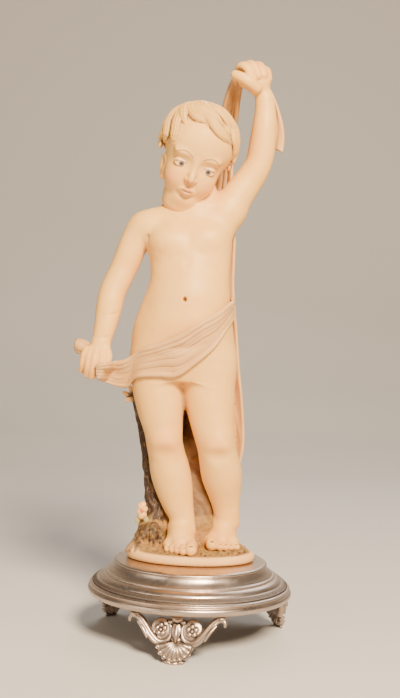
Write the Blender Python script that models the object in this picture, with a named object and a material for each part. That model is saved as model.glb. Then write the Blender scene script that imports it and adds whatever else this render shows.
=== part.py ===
# Porcelain boy figurine on a turned metal stand with three shell feet.
# Metres, +Z up, the ground at z = 0, the viewer at -Y.
import math

import bmesh
import bpy
import numpy as np
from mathutils import Euler, Matrix, Vector

# Driving sizes

FIGURE_HEIGHT = 0.331
STAND_RADIUS = 0.0674
STAND_TOP = 0.0500
RIM_UNDERSIDE = 0.0280
FOOT_TURN = math.radians(-6.5)
FOOT_COUNT = 3
FOOT_INSET = 0.0114
FOOT_LEAN = 0.0100
FOOT_SOLE = 0.0014
GAP = 0.0003
AXIS_X = 0.0088
VOXEL = 0.0014
FIGURE_TRIANGLES = 6600
FOOT_VOXEL = 0.0006
FOOT_TRIANGLES = 500

SHARE = FIGURE_HEIGHT / 1000.0

# Figure masses, in thousandths of the figure's height: across, deep, up, radius

HANGING_ARM = [
    (-103, 10, 662, 33), (-122, 12, 662, 30), (-139, 12, 626, 28), (-152, 12, 593, 27), (-163, 10, 565, 27),
    (-177, 4, 531, 26), (-183, 0, 498, 26), (-188, -8, 463, 22), (-194, -14, 431, 20),
]
RAISED_ARM = [
    (30, 12, 672, 38), (48, 12, 700, 34), (68, 12, 735, 31), (91, 12, 770, 28), (106, 11, 799, 26),
    (112, 10, 830, 26), (115, 8, 864, 25), (116, 6, 900, 22), (113, 3, 934, 20),
]
STANDING_LEG = [
    (-82, 4, 381, 54), (-78, 0, 337, 49), (-71, -6, 297, 44), (-65, -10, 262, 39), (-61, -12, 232, 36),
    (-54, -2, 204, 37), (-48, 6, 174, 40), (-40, 10, 144, 38), (-31, 10, 112, 32), (-22, 8, 86, 27),
    (-15, 6, 58, 27),
]
SLACK_LEG = [
    (22, 4, 385, 55), (25, 0, 337, 50), (30, -8, 297, 47), (36, -16, 262, 42), (43, -20, 229, 38),
    (50, -8, 198, 40), (56, 4, 171, 41), (62, 14, 139, 34), (67, 20, 108, 28), (70, 24, 77, 26),
]
STANDING_FOOT = [(-12, 24, 42, 22), (-8, -4, 44, 24), (-7, -34, 36, 23), (-6, -50, 32, 20)]
SLACK_FOOT = [(71, 42, 46, 22), (72, 18, 50, 24), (74, -6, 42, 23), (74, -16, 40, 20)]
TRUNK = [
    (-128, 30, 322, 9), (-117, 30, 292, 10), (-104, 32, 250, 13), (-95, 34, 212, 15), (-87, 34, 165, 16),
    (-80, 32, 118, 19), (-74, 26, 76, 25), (-80, 16, 44, 36),
]
STUMP = [(10, 52, 300, 30), (6, 52, 230, 34), (2, 50, 160, 38), (4, 46, 90, 46), (4, 40, 40, 56)]

# Torso rings: height, across, deep, half width, half depth

TORSO = [
    (372, -30, 2, 96, 58), (410, -31, 0, 104, 70), (440, -32, -2, 102, 72), (467, -32, -5, 98, 70),
    (495, -30, -8, 91, 66), (520, -27, -10, 85, 64), (554, -23, -9, 78, 61), (589, -23, -5, 79, 59),
    (615, -25, -1, 82, 58), (640, -29, 3, 84, 54), (664, -33, 8, 82, 46), (684, -28, 12, 66, 38),
    (700, -22, 12, 52, 34),
]

# One arm of a foot from its curled end to under the rosette, in metres: across, below the foot's top, half width

FOOT_ARM = [
    (0.0285, 0.0042, 0.0014), (0.0262, 0.0020, 0.0016), (0.0225, 0.0040, 0.0019), (0.0190, 0.0085, 0.0022),
    (0.0160, 0.0122, 0.0023), (0.0125, 0.0152, 0.0022), (0.0096, 0.0164, 0.0018), (0.0055, 0.0150, 0.0014),
    (0.0032, 0.0105, 0.0010),
]

# The front drape's upper and lower edges from the lower hand to the far hip

DRAPE_UPPER = [
    (-196, -16, 378), (-171, -24, 386), (-137, -40, 396), (-117, -54, 410), (-92, -66, 422), (-62, -74, 434),
    (-25, -78, 453), (12, -70, 477), (38, -52, 494), (56, -20, 509), (60, 16, 520),
]
DRAPE_LOWER = [
    (-194, -16, 358), (-173, -16, 349), (-142, -22, 341), (-130, -36, 350), (-113, -56, 362), (-76, -68, 366),
    (-41, -70, 368), (-6, -72, 392), (28, -64, 426), (56, -38, 472), (64, 12, 494),
]

# Hanging cloth rows: height, left edge, right edge, depth at the middle, depth at the edges

BACK_CLOTH = [
    (186, -78, 92, 68, 46), (210, -84, 98, 68, 44), (238, -88, 101, 68, 44), (278, -94, 99, 69, 46),
    (330, -102, 91, 72, 48), (369, -108, 85, 76, 48), (420, -116, 80, 80, 48), (470, -116, 75, 76, 48),
    (514, -100, 69, 68, 48), (560, -92, 67, 64, 46), (610, -92, 66, 64, 46), (650, -80, 65, 66, 48),
    (690, -48, 60, 74, 54), (730, -18, 56, 86, 62), (780, 2, 54, 94, 72), (830, 14, 54, 94, 70),
    (870, 22, 55, 76, 58), (905, 30, 57, 52, 44), (935, 36, 60, 34, 28), (958, 46, 62, 18, 14),
]
LOOSE_END = [
    (828, 104, 157, 26, 24), (853, 104, 159, 28, 26), (880, 104, 155, 28, 24), (910, 104, 145, 26, 22),
    (938, 100, 132, 20, 16), (962, 94, 112, 12, 10),
]

# Head, in its own turned frame

HEAD_CENTRE = (-7, -4, 828)
HEAD_TURN = Euler((math.radians(20), math.radians(15), math.radians(5)), "XZY")
LOCK_ROWS = 14
SHELL_RIBS = 7


def world(point):
    """A point of the figure's own frame in metres."""
    return Vector((AXIS_X + point[0] * SHARE, point[1] * SHARE, STAND_TOP + GAP + point[2] * SHARE))


class Masses:
    """Closed bodies gathered as plain corners and faces, before they are cast into one."""

    def __init__(self):
        self.corners = []
        self.faces = []
        self.count = 0

    def add(self, corners, faces):
        """Add one closed body; its faces number its own corners from nought."""
        self.corners.extend(corners)
        self.faces.extend(tuple(self.count + index for index in face) for face in faces)
        self.count += len(corners)

    def sphere(self, matrix):
        """A unit sphere set out by a matrix."""
        self.add([matrix @ corner for corner in SPHERE[0]], SPHERE[1])

    def mesh_data(self, name):
        """The bodies as mesh data."""
        data = bpy.data.meshes.new(name)
        data.from_pydata([tuple(corner) for corner in self.corners], [], self.faces)
        return data


def unit_sphere():
    """Corners and faces of a unit sphere."""
    mesh = bmesh.new()
    bmesh.ops.create_icosphere(mesh, subdivisions=3, radius=1.0)
    corners = [vertex.co.copy() for vertex in mesh.verts]
    faces = [tuple(vertex.index for vertex in face.verts) for face in mesh.faces]
    mesh.free()
    return corners, faces


SPHERE = unit_sphere()


def ball(mesh, centre, radii, turn=None):
    """An ellipsoid of the figure, its radii in thousandths."""
    matrix = Matrix.Translation(world(centre))
    if turn is not None:
        matrix = matrix @ turn.to_matrix().to_4x4()
    mesh.sphere(matrix @ Matrix.Diagonal((radii[0] * SHARE, radii[1] * SHARE, radii[2] * SHARE, 1.0)))


def tube(mesh, loops):
    """A closed tube through loops of corners, all of one number."""
    sides = len(loops[0])
    corners = [corner for loop in loops for corner in loop]
    faces = [tuple(range(sides))[::-1], tuple(range(len(corners) - sides, len(corners)))]
    for level in range(len(loops) - 1):
        for side in range(sides):
            here, there = level * sides + side, level * sides + (side + 1) % sides
            faces.append((here, there, there + sides, here + sides))
    mesh.add(corners, faces)


def limb(mesh, stations):
    """A tapering limb: balls at the stations and tangent cones between them."""
    for station in stations:
        ball(mesh, station, (station[3],) * 3)
    for first, second in zip(stations, stations[1:]):
        start, end = Vector(first[:3]), Vector(second[:3])
        along = end - start
        span = along.length
        sine = (first[3] - second[3]) / span
        if abs(sine) > 0.95:
            continue
        cosine = math.sqrt(1.0 - sine * sine)
        low = start + along * (first[3] * sine / span)
        high = end + along * (second[3] * sine / span)
        turn = along.to_track_quat("Z", "Y").to_matrix()
        loops = []
        for centre, radius in ((low, first[3] * cosine), (high, second[3] * cosine)):
            loops.append([
                world(centre + turn @ Vector((radius * math.cos(angle), radius * math.sin(angle), 0.0)))
                for angle in (2 * math.pi * side / 24 for side in range(24))])
        tube(mesh, loops)


def loft(mesh, rings, segments=40):
    """A closed body through oval rings."""
    loops = []
    for height, across, deep, half_width, half_depth in rings:
        loops.append([
            world((across + half_width * math.cos(angle), deep + half_depth * math.sin(angle), height))
            for angle in (2 * math.pi * step / segments for step in range(segments))])
    tube(mesh, loops)


def slab(mesh, grid, thickness):
    """A closed slab of cloth over a grid of points."""
    grid = np.array(grid, dtype=float)
    along = np.gradient(grid, axis=0)
    across = np.gradient(grid, axis=1)
    normal = np.cross(across, along)
    normal /= np.linalg.norm(normal, axis=2, keepdims=True)
    rows, columns = grid.shape[:2]
    near, far = grid + normal * thickness / 2, grid - normal * thickness / 2
    loops = []
    for row in range(rows):
        loops.append([world(point) for point in near[row]] + [world(point) for point in far[row][::-1]])
    tube(mesh, loops)


def smooth_line(points, count):
    """Evenly numbered points along a smooth line through the given ones."""
    points = np.array(points, dtype=float)
    knots = np.arange(len(points))
    out = []
    for value in np.linspace(0, len(points) - 1, count):
        index = min(int(value), len(points) - 2)
        part = value - index
        before = points[max(index - 1, 0)]
        after = points[min(index + 2, knots[-1])]
        start, end = points[index], points[index + 1]
        out.append(0.5 * (
            2 * start + (end - before) * part + (2 * before - 5 * start + 4 * end - after) * part ** 2
            + (3 * start - before - 3 * end + after) * part ** 3))
    return np.array(out)


def hanging_cloth(mesh, rows, folds, fold_depth, thickness, columns=34, count=40):
    """Cloth hanging in upright folds between a left and a right edge."""
    grid = []
    for height, left, right, middle, edge in smooth_line(rows, count):
        line = []
        for step in range(columns):
            part = step / (columns - 1)
            bulge = math.sin(math.pi * part)
            wave = math.sin(2 * math.pi * folds * part + height / 130.0)
            deep = edge + (middle - edge) * bulge + fold_depth * wave * min(1.0, 4 * bulge)
            line.append((left + (right - left) * part, deep, height))
        grid.append(line)
    slab(mesh, grid, thickness)


def front_drape(mesh):
    """The drape across the loins: a thin cloth with rolled folds along it."""
    upper = smooth_line(DRAPE_UPPER, 48)
    lower = smooth_line(DRAPE_LOWER, 48)
    grid = []
    for top, bottom in zip(upper, lower):
        grid.append([tuple(top + (bottom - top) * share) for share in np.linspace(0.0, 1.0, 9)])
    slab(mesh, grid, 12)
    for share, radius in ((0.04, 10), (0.30, 8), (0.56, 8), (0.80, 7), (0.98, 7)):
        stations = []
        for index in range(0, 48, 2):
            spread = math.sin(math.pi * index / 47) ** 0.5
            point = upper[index] + (lower[index] - upper[index]) * share
            wobble = 2.0 * math.sin(index * 0.45 + share * 9)
            stations.append((point[0], point[1] - 3 * spread, point[2] + wobble * spread, radius))
        limb(mesh, stations)


def head_point(x, y, z):
    """A point of the head's own frame in the figure's frame."""
    turned = HEAD_TURN.to_matrix() @ Vector((x, y, z))
    return (HEAD_CENTRE[0] + turned.x, HEAD_CENTRE[1] + turned.y, HEAD_CENTRE[2] + turned.z)


def head_ball(mesh, x, y, z, radii):
    """An ellipsoid placed and turned with the head."""
    ball(mesh, head_point(x, y, z), radii, HEAD_TURN)


def head(mesh):
    """A plain child's head with locks of hair and a small ear each side."""
    head_ball(mesh, 0, 4, 2, (71, 74, 72))
    head_ball(mesh, 0, -20, 6, (62, 53, 54))
    head_ball(mesh, 4, -22, -44, (60, 54, 50))
    head_ball(mesh, 8, -20, -82, (52, 50, 36))
    for side in (-1, 1):
        head_ball(mesh, side * 31 + 5, -40, -62, (29, 31, 30))
        head_ball(mesh, side * 71, 8, -34, (8, 13, 23))
    head_ball(mesh, 8, -50, -104, (22, 20, 17))
    head_ball(mesh, 8, -26, -108, (34, 30, 20))
    head_ball(mesh, 2, -77, -58, (10, 13, 9))
    head_ball(mesh, 1, -69, -40, (8, 10, 18))
    head_ball(mesh, 5, -68, -82, (15, 10, 7))
    head_ball(mesh, -9, 14, 3, (77, 75, 70))
    for row in range(LOCK_ROWS):
        turn = 2 * math.pi * (row + 0.5) / LOCK_ROWS
        front = max(0.0, -math.cos(turn))
        back = max(0.0, math.cos(turn))
        reach = math.radians(104) - math.radians(50) * front ** 0.7 + math.radians(20) * back
        stations = []
        for step in range(12):
            part = step / 11
            polar = reach * (0.06 + 0.94 * part)
            swirl = turn + 0.34 * math.sin(3.4 * part + row * 1.7) * (0.2 + part * 0.5)
            radial = 74 + 4 * math.sin(math.pi * part)
            stations.append((
                *head_point(
                    radial * 1.05 * math.sin(polar) * math.sin(swirl) - 8,
                    12 + radial * math.sin(polar) * math.cos(swirl), 1 + radial * math.cos(polar)),
                6.5 + 6.5 * math.sin(math.pi * min(1.0, 0.25 + 0.75 * part))))
        limb(mesh, stations)


def toes(mesh, first, last, big_first, lengths, floor):
    """Five toes in a row between two points of the foot's front edge."""
    start, end = Vector(first), Vector(last)
    for index, part in enumerate((0.0, 0.32, 0.54, 0.76, 0.97)):
        share = part if big_first else 1.0 - part
        radius = (11.5, 8.5, 8, 7.5, 7)[index]
        centre = start.lerp(end, share)
        reach = lengths[0] * (1.0 - 0.12 * index)
        limb(mesh, [
            (centre.x, centre.y + 16, floor + radius + 8, radius),
            (centre.x + lengths[1], centre.y - reach * 0.3, floor + radius + 1, radius),
        ])


def hands(mesh):
    """Both fists, with the fingers closed on the cloth."""
    ball(mesh, (-199, -20, 404), (22, 17, 25))
    for x, knuckle, tip, radius in (
            (-197, (-197, -36, 392), (-203, -34, 361), 8.5), (-207, (-208, -36, 394), (-214, -34, 367), 8),
            (-217, (-218, -32, 395), (-223, -32, 367), 7.5), (-226, (-227, -26, 398), (-232, -28, 376), 7)):
        limb(mesh, [(x + 2, -24, 412, radius + 2), (*knuckle, radius), (*tip, radius - 1)])
    limb(mesh, [(-190, -26, 405, 9), (-184, -32, 386, 8), (-184, -30, 372, 7)])
    limb(mesh, [(-214, -8, 404, 11), (-228, -6, 411, 11), (-242, -4, 418, 10)])
    ball(mesh, (96, -2, 960), (24, 19, 25))
    for start, bend, tip, radius in (
            ((103, -18, 974), (86, -18, 988), (67, -12, 985), 9), ((106, -7, 983), (94, -6, 994), (74, 0, 985), 9),
            ((109, 4, 983), (99, 7, 993), (78, 12, 984), 9), ((112, 14, 970), (106, 18, 982), (88, 20, 974), 8)):
        limb(mesh, [(*start, radius + 1), (*bend, radius), (*tip, radius - 1)])
    limb(mesh, [(92, -18, 950, 11), (74, -23, 960, 9), (51, -18, 975, 7)])
    limb(mesh, [(70, 0, 984, 10), (60, 6, 966, 10), (58, 16, 948, 10)])


def ground(mesh):
    """The oval base with its rounded rim, the mound, the trunk, the stump and the flower."""
    rings = [(0, 0, 0, 119, 77), (4, 0, 0, 126, 83), (9, 0, 0, 128, 85), (14, 0, 0, 127, 84), (18, 0, 0, 122, 79)]
    loft(mesh, rings, 72)
    ball(mesh, (0, 0, 14), (116, 73, 13))
    ball(mesh, (-84, 6, 16), (42, 44, 26))
    ball(mesh, (64, 20, 16), (46, 44, 14))
    ball(mesh, (4, 42, 16), (56, 34, 30))
    limb(mesh, TRUNK)
    limb(mesh, STUMP)
    for x, y, z in ((-140, 28, 334), (-126, 22, 330), (-137, 34, 320), (-118, 34, 318)):
        ball(mesh, (x, y, z), (9, 6, 11))
    for index in range(5):
        angle = 2 * math.pi * index / 5 + 0.3
        ball(mesh, (-101 + 9 * math.cos(angle), -2, 92 + 9 * math.sin(angle)), (8, 6, 8))
    limb(mesh, [(-96, 18, 88, 10), (-101, 2, 92, 7)])


def figurine_masses(mesh):
    """Every mass of the cast figurine."""
    loft(mesh, TORSO)
    ball(mesh, (-66, -20, 634), (40, 38, 30))
    ball(mesh, (12, -20, 644), (40, 38, 30))
    ball(mesh, (-24, -26, 524), (62, 52, 66))
    limb(mesh, [(-22, 14, 656, 50), (-16, 14, 725, 46)])
    limb(mesh, [(-90, 12, 672, 30), (-30, 12, 700, 36), (34, 12, 698, 38)])
    for stations in (HANGING_ARM, RAISED_ARM, STANDING_LEG, SLACK_LEG, STANDING_FOOT, SLACK_FOOT):
        limb(mesh, stations)
    toes(mesh, (17, -58, 0), (-32, -50, 0), True, (14, 0), 17)
    toes(mesh, (50, -16, 0), (100, -26, 0), True, (12, 3), 22)
    hands(mesh)
    head(mesh)
    front_drape(mesh)
    hanging_cloth(mesh, BACK_CLOTH, 3.5, 6, 15)
    hanging_cloth(mesh, LOOSE_END, 1.5, 4, 10, 14, 16)
    ground(mesh)


def material(name, colour, roughness, metallic):
    """A plain finish."""
    finish = bpy.data.materials.new(name)
    finish.use_nodes = True
    shader = finish.node_tree.nodes["Principled BSDF"]
    shader.inputs["Base Color"].default_value = (*colour, 1.0)
    shader.inputs["Roughness"].default_value = roughness
    shader.inputs["Metallic"].default_value = metallic
    return finish


def add_object(name, masses, finish):
    """Link the masses as a named, smooth-shaded object."""
    data = masses.mesh_data(name)
    mesh = bmesh.new()
    mesh.from_mesh(data)
    bmesh.ops.remove_doubles(mesh, verts=mesh.verts, dist=1e-7)
    bmesh.ops.recalc_face_normals(mesh, faces=mesh.faces)
    mesh.to_mesh(data)
    mesh.free()
    for polygon in data.polygons:
        polygon.use_smooth = True
    data.materials.append(finish)
    thing = bpy.data.objects.new(name, data)
    bpy.context.scene.collection.objects.link(thing)
    return thing


def keep_outer_shell(data):
    """Delete every shell but the largest, so that no sealed hollow stays inside."""
    mesh = bmesh.new()
    mesh.from_mesh(data)
    left = set(mesh.verts)
    shells = []
    while left:
        front = [left.pop()]
        shell = list(front)
        while front:
            vertex = front.pop()
            for edge in vertex.link_edges:
                other = edge.other_vert(vertex)
                if other in left:
                    left.remove(other)
                    front.append(other)
                    shell.append(other)
        shells.append(shell)
    shells.sort(key=len)
    for shell in shells[:-1]:
        bmesh.ops.delete(mesh, geom=shell, context="VERTS")
    mesh.to_mesh(data)
    mesh.free()


def cast(name, masses, voxel, triangles, floor, flat, finish):
    """Cast the masses into one body of about so many triangles, its underside flat."""
    thing = add_object(name, masses, finish)
    union = thing.modifiers.new("Cast body", "REMESH")
    union.mode = "VOXEL"
    union.voxel_size = voxel
    soften = thing.modifiers.new("Soften", "SMOOTH")
    soften.factor = 0.5
    soften.iterations = 1
    bpy.context.view_layer.update()
    whole = bpy.data.meshes.new_from_object(thing.evaluated_get(bpy.context.evaluated_depsgraph_get()))
    keep_outer_shell(whole)
    thing.modifiers.clear()
    thing.data = whole
    for vertex in whole.vertices:
        if vertex.co.z < floor + flat:
            vertex.co.z = floor
    whole.calc_loop_triangles()
    thin = thing.modifiers.new("Facets", "DECIMATE")
    thin.ratio = triangles / len(whole.loop_triangles)
    thin.use_collapse_triangulate = True
    bpy.context.view_layer.update()
    body = bpy.data.meshes.new_from_object(thing.evaluated_get(bpy.context.evaluated_depsgraph_get()))
    thing.modifiers.clear()
    thing.data = body
    for vertex in body.vertices:
        if vertex.co.z < floor + flat:
            vertex.co.z = floor
    for polygon in body.polygons:
        polygon.use_smooth = True
    return thing


def build_figurine(finish):
    """One cast body from all the masses."""
    masses = Masses()
    figurine_masses(masses)
    floor = STAND_TOP + GAP
    for corner in masses.corners:
        corner.z = max(corner.z, floor)
    return cast("boy_figurine", masses, VOXEL, FIGURE_TRIANGLES, floor, 0.0010, finish)


def turned(mesh, profile, segments):
    """A ring body turned about the stand's axis from a closed profile."""
    corners, faces = [], []
    sides = len(profile)
    for step in range(segments):
        angle = 2 * math.pi * step / segments
        corners.extend(
            Vector((AXIS_X + radius * math.cos(angle), radius * math.sin(angle), height)) for radius, height in profile)
    for step in range(segments):
        here, there = step * sides, (step + 1) % segments * sides
        for index in range(sides):
            after = (index + 1) % sides
            if profile[index][0] == 0.0 and profile[after][0] == 0.0:
                continue
            if profile[index][0] == 0.0:
                faces.append((index, there + after, here + after))
            elif profile[after][0] == 0.0:
                faces.append((here + index, there + index, after))
            else:
                faces.append((here + index, there + index, there + after, here + after))
    mesh.add(corners, faces)


def build_stand(finish):
    """The stepped round stand, closed beneath by a plate set up inside the rim."""
    r, top = STAND_RADIUS, STAND_TOP
    step = (top - RIM_UNDERSIDE) / 22.0
    recess = 0.0018
    outer = [
        (r - 0.0030, RIM_UNDERSIDE), (r - 0.0008, RIM_UNDERSIDE + 0.9 * step), (r, RIM_UNDERSIDE + 2.4 * step),
        (r - 0.0009, RIM_UNDERSIDE + 4.2 * step), (r - 0.0014, RIM_UNDERSIDE + 5.2 * step),
        (r - 0.0022, RIM_UNDERSIDE + 6.6 * step), (r * 0.911, RIM_UNDERSIDE + 10 * step),
        (r * 0.878, RIM_UNDERSIDE + 12.2 * step), (r * 0.832, RIM_UNDERSIDE + 13.6 * step),
        (r * 0.818, RIM_UNDERSIDE + 14.6 * step), (r * 0.772, RIM_UNDERSIDE + 16.2 * step),
        (r * 0.745, RIM_UNDERSIDE + 19 * step), (r * 0.741, RIM_UNDERSIDE + 21 * step), (r * 0.727, top), (0.0, top),
    ]
    inner = [(0.0, RIM_UNDERSIDE + recess), (r * 0.785, RIM_UNDERSIDE + recess), (r * 0.79, RIM_UNDERSIDE)]
    mesh = Masses()
    turned(mesh, outer + inner, 40)
    return add_object("stand", mesh, finish)


def sweep(mesh, path, half_width, half_depth, sides=8):
    """A closed scroll arm of oval section along a flat path in the foot's own frame."""
    loops = []
    count = len(path)
    for index, (x, z) in enumerate(path):
        before, after = path[max(index - 1, 0)], path[min(index + 1, count - 1)]
        direction = Vector((after[0] - before[0], 0.0, after[1] - before[1])).normalized()
        loop = []
        for side in range(sides):
            angle = 2 * math.pi * side / sides
            wide = half_width[index] * math.cos(angle)
            loop.append(Vector((x - direction.z * wide, half_depth * math.sin(angle), z + direction.x * wide)))
        loops.append(loop)
    tube(mesh, loops)


def bead(mesh, x, y, z, wide, deep, high):
    """A rounded swelling of the foot."""
    mesh.sphere(Matrix.Translation((x, y, z)) @ Matrix.Diagonal((wide, deep, high, 1.0)))


def foot_masses(mesh):
    """Two scroll arms, volutes with rosettes, a leaf, a knob and a ribbed shell."""
    top = RIM_UNDERSIDE - GAP
    for side in (-1, 1):
        path = [(side * across, top - drop) for across, drop, _ in FOOT_ARM]
        sweep(mesh, path, [width for _, _, width in FOOT_ARM], 0.0024)
        bead(mesh, side * 0.0268, 0.0, top - 0.0014, 0.0030, 0.0024, 0.0014)
        bead(mesh, side * 0.0096, 0.0, top - 0.0092, 0.0064, 0.0020, 0.0064)
        bead(mesh, side * 0.0050, 0.0, top - 0.0036, 0.0022, 0.0022, 0.0022)
        for petal in range(5):
            angle = 2 * math.pi * petal / 5 + math.pi / 2
            across = side * 0.0096 + 0.0028 * math.cos(angle)
            bead(mesh, across, -0.0018, top - 0.0092 + 0.0028 * math.sin(angle), 0.0016, 0.0015, 0.0016)
    bead(mesh, 0.0, 0.0, top - 0.0023, 0.0034, 0.0030, 0.0023)
    bead(mesh, 0.0, 0.0, top - 0.0090, 0.0036, 0.0026, 0.0075)
    bead(mesh, 0.0, 0.0, top - 0.0204, 0.0112, 0.0022, 0.0084)
    for rib in range(SHELL_RIBS):
        spread = (rib - (SHELL_RIBS - 1) / 2) / ((SHELL_RIBS - 1) / 2)
        angle = spread * math.radians(76)
        length = 0.0122 - 0.0012 * spread * spread
        for step in range(9):
            part = step / 8
            swell = 0.0011 + 0.0010 * part
            bead(
                mesh, math.sin(angle) * length * part, -0.0026 * math.sin(math.pi * part) - 0.0004,
                top - 0.0150 - math.cos(angle) * length * part, swell, swell, swell)


def level_sole(data):
    """Cut the body off level with the ground and close the cut with one flat face."""
    mesh = bmesh.new()
    mesh.from_mesh(data)
    parts = [*mesh.verts, *mesh.edges, *mesh.faces]
    cut = bmesh.ops.bisect_plane(mesh, geom=parts, plane_co=(0, 0, 0), plane_no=(0, 0, 1), clear_inner=True)
    rim = [part for part in cut["geom_cut"] if isinstance(part, bmesh.types.BMEdge)]
    for edge in rim:
        for vertex in edge.verts:
            vertex.co.z = 0.0
    bmesh.ops.contextual_create(mesh, geom=rim)
    bmesh.ops.recalc_face_normals(mesh, faces=mesh.faces)
    mesh.to_mesh(data)
    mesh.free()


def build_foot(name, azimuth, finish):
    """One cast shell foot, leaning outward under the rim."""
    mesh = Masses()
    foot_masses(mesh)
    lowest = min(corner.z for corner in mesh.corners)
    top = RIM_UNDERSIDE - GAP
    place = Matrix.Translation((AXIS_X, 0.0, 0.0)) @ Matrix.Rotation(azimuth, 4, "Z")
    place = place @ Matrix.Translation((0.0, FOOT_INSET - STAND_RADIUS, 0.0))
    for index, corner in enumerate(mesh.corners):
        drop = max(0.0, min(1.0, (top - corner.z) / (top - lowest)))
        leaning = Vector((corner.x, corner.y - FOOT_LEAN * drop ** 1.3, top - (top + FOOT_SOLE) * drop))
        mesh.corners[index] = place @ leaning
    thing = cast(name, mesh, FOOT_VOXEL, FOOT_TRIANGLES, -FOOT_SOLE, 0.0, finish)
    level_sole(thing.data)
    return thing


def main():
    """Build the figurine, its stand and the three feet."""
    for thing in list(bpy.data.objects):
        bpy.data.objects.remove(thing, do_unlink=True)
    porcelain = material("Porcelain", (0.86, 0.77, 0.62), 0.42, 0.0)
    metal = material("Aged silvered metal", (0.52, 0.49, 0.46), 0.36, 0.9)
    build_figurine(porcelain)
    build_stand(metal)
    for index in range(FOOT_COUNT):
        build_foot(f"shell_foot_{index + 1}", FOOT_TURN + 2 * math.pi * index / FOOT_COUNT, metal)


main()
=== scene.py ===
"""Porcelain boy figurine with a drape, on a turned metal stand with cast shell feet."""
import logging
import time
from dataclasses import dataclass, field
from enum import Enum
from math import cos, exp, pi, radians, sin, sqrt
from typing import Callable, Optional, Sequence

import bpy
import numpy as np
from mathutils import Euler, Matrix, Vector


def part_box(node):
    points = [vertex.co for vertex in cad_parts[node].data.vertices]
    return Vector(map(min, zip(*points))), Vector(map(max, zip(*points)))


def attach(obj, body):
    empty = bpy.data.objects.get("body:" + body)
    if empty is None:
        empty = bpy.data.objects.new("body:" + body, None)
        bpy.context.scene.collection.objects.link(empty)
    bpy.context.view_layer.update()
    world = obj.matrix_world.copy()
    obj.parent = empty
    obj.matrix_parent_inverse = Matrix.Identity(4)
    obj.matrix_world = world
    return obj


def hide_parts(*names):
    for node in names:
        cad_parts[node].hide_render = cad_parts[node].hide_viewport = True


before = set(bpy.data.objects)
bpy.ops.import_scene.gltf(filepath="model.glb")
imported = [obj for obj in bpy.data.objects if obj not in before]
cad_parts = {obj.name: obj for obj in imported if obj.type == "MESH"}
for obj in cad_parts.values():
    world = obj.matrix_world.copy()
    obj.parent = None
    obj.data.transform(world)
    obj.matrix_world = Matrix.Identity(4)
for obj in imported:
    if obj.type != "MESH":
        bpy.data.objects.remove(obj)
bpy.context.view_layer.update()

Point = tuple[float, float, float]
Station = tuple[float, float, float, float]
Colour = tuple[float, float, float]
Array = np.ndarray
Skin = tuple[Array, Array]
Rows = Sequence[Sequence[float]]
Socket, Node = bpy.types.NodeSocket, bpy.types.Node
Tree, Material = bpy.types.NodeTree, bpy.types.Material

LOG = logging.getLogger("figurine")

# The figure's own frame: thousandths of its height, from the stand's axis at the base's underside

FIGURE_HEIGHT = 0.331
STAND_LOW, STAND_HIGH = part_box("stand")
FIGURE_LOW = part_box("boy_figurine")[0]
SHARE = FIGURE_HEIGHT / 1000.0
AXIS = Vector(((STAND_LOW[0] + STAND_HIGH[0]) / 2, (STAND_LOW[1] + STAND_HIGH[1]) / 2, 0.0))
ORIGIN = Vector((AXIS.x, AXIS.y, FIGURE_LOW[2]))
MARGIN = 6.0
FAR = 30.0


# Solid fields


def smooth_union(first: Array, second: Array, blend: float) -> Array:
    """Join two distance fields with a rounded valley.

    Args:
        first: distances to the first body.
        second: distances to the second body.
        blend: width over which the two flow together.

    Returns:
        Distances to the joined body.
    """
    if blend <= 0.0:
        return np.minimum(first, second)
    near = np.maximum(blend - np.abs(first - second), 0.0) / blend
    return np.minimum(first, second) - near * near * (blend * 0.25)


def smooth_carve(body: Array, tool: Array, blend: float) -> Array:
    """Take a tool away from a body with an edge rounded by the blend."""
    return -smooth_union(-body, tool, blend)


def oval(scaled: Array, radii: Array) -> tuple[Array, Array]:
    """Measure points against an oval.

    Args:
        scaled: the points from its middle, in shares of its half widths.
        radii: the half widths.

    Returns:
        How far out the points lie as a share, and their distances near its border.
    """
    length = np.sqrt((scaled * scaled).sum(axis=1)) + 1e-6
    steep = np.sqrt(((scaled / radii) ** 2).sum(axis=1)) + 1e-6
    return length, length * (length - 1.0) / steep


def tilted(degrees: float, axis: str) -> Array:
    """A rotation about one axis."""
    return np.array(Matrix.Rotation(radians(degrees), 3, axis))


def smooth_line(points: Rows, count: int) -> Array:
    """Evenly numbered points on a smooth line through the given ones.

    Args:
        points: the points that the line passes through, of any dimension.
        count: how many points to return.

    Returns:
        An array of that many points.
    """
    knots = np.array(points, dtype=np.float64)
    values = np.linspace(0.0, len(knots) - 1.0, count)
    index = np.minimum(values.astype(int), len(knots) - 2)
    part = (values - index)[:, None]
    before = knots[np.maximum(index - 1, 0)]
    after = knots[np.minimum(index + 2, len(knots) - 1)]
    start, end = knots[index], knots[index + 1]
    return 0.5 * (
        2 * start + (end - before) * part + (2 * before - 5 * start + 4 * end - after) * part ** 2
        + (3 * start - before - 3 * end + after) * part ** 3)


def ripple(points: Array, pitch: float, seed: int, stretch: Point = (1.0, 1.0, 1.0)) -> Array:
    """A smooth even noise between about -1 and 1.

    Args:
        points: where it is wanted.
        pitch: size of its swellings.
        seed: which pattern.
        stretch: how much longer the swellings are along each axis.

    Returns:
        One value for each point.
    """
    random = np.random.default_rng(seed)
    total = np.zeros(len(points), dtype=np.float32)
    for _ in range(7):
        way = random.normal(size=3)
        way = way / np.linalg.norm(way) * (2 * pi / pitch) * random.uniform(0.6, 1.5) / np.array(stretch)
        total += np.sin(points @ way.astype(np.float32) + np.float32(random.uniform(0, 6.28)))
    return total / 3.6


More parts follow.
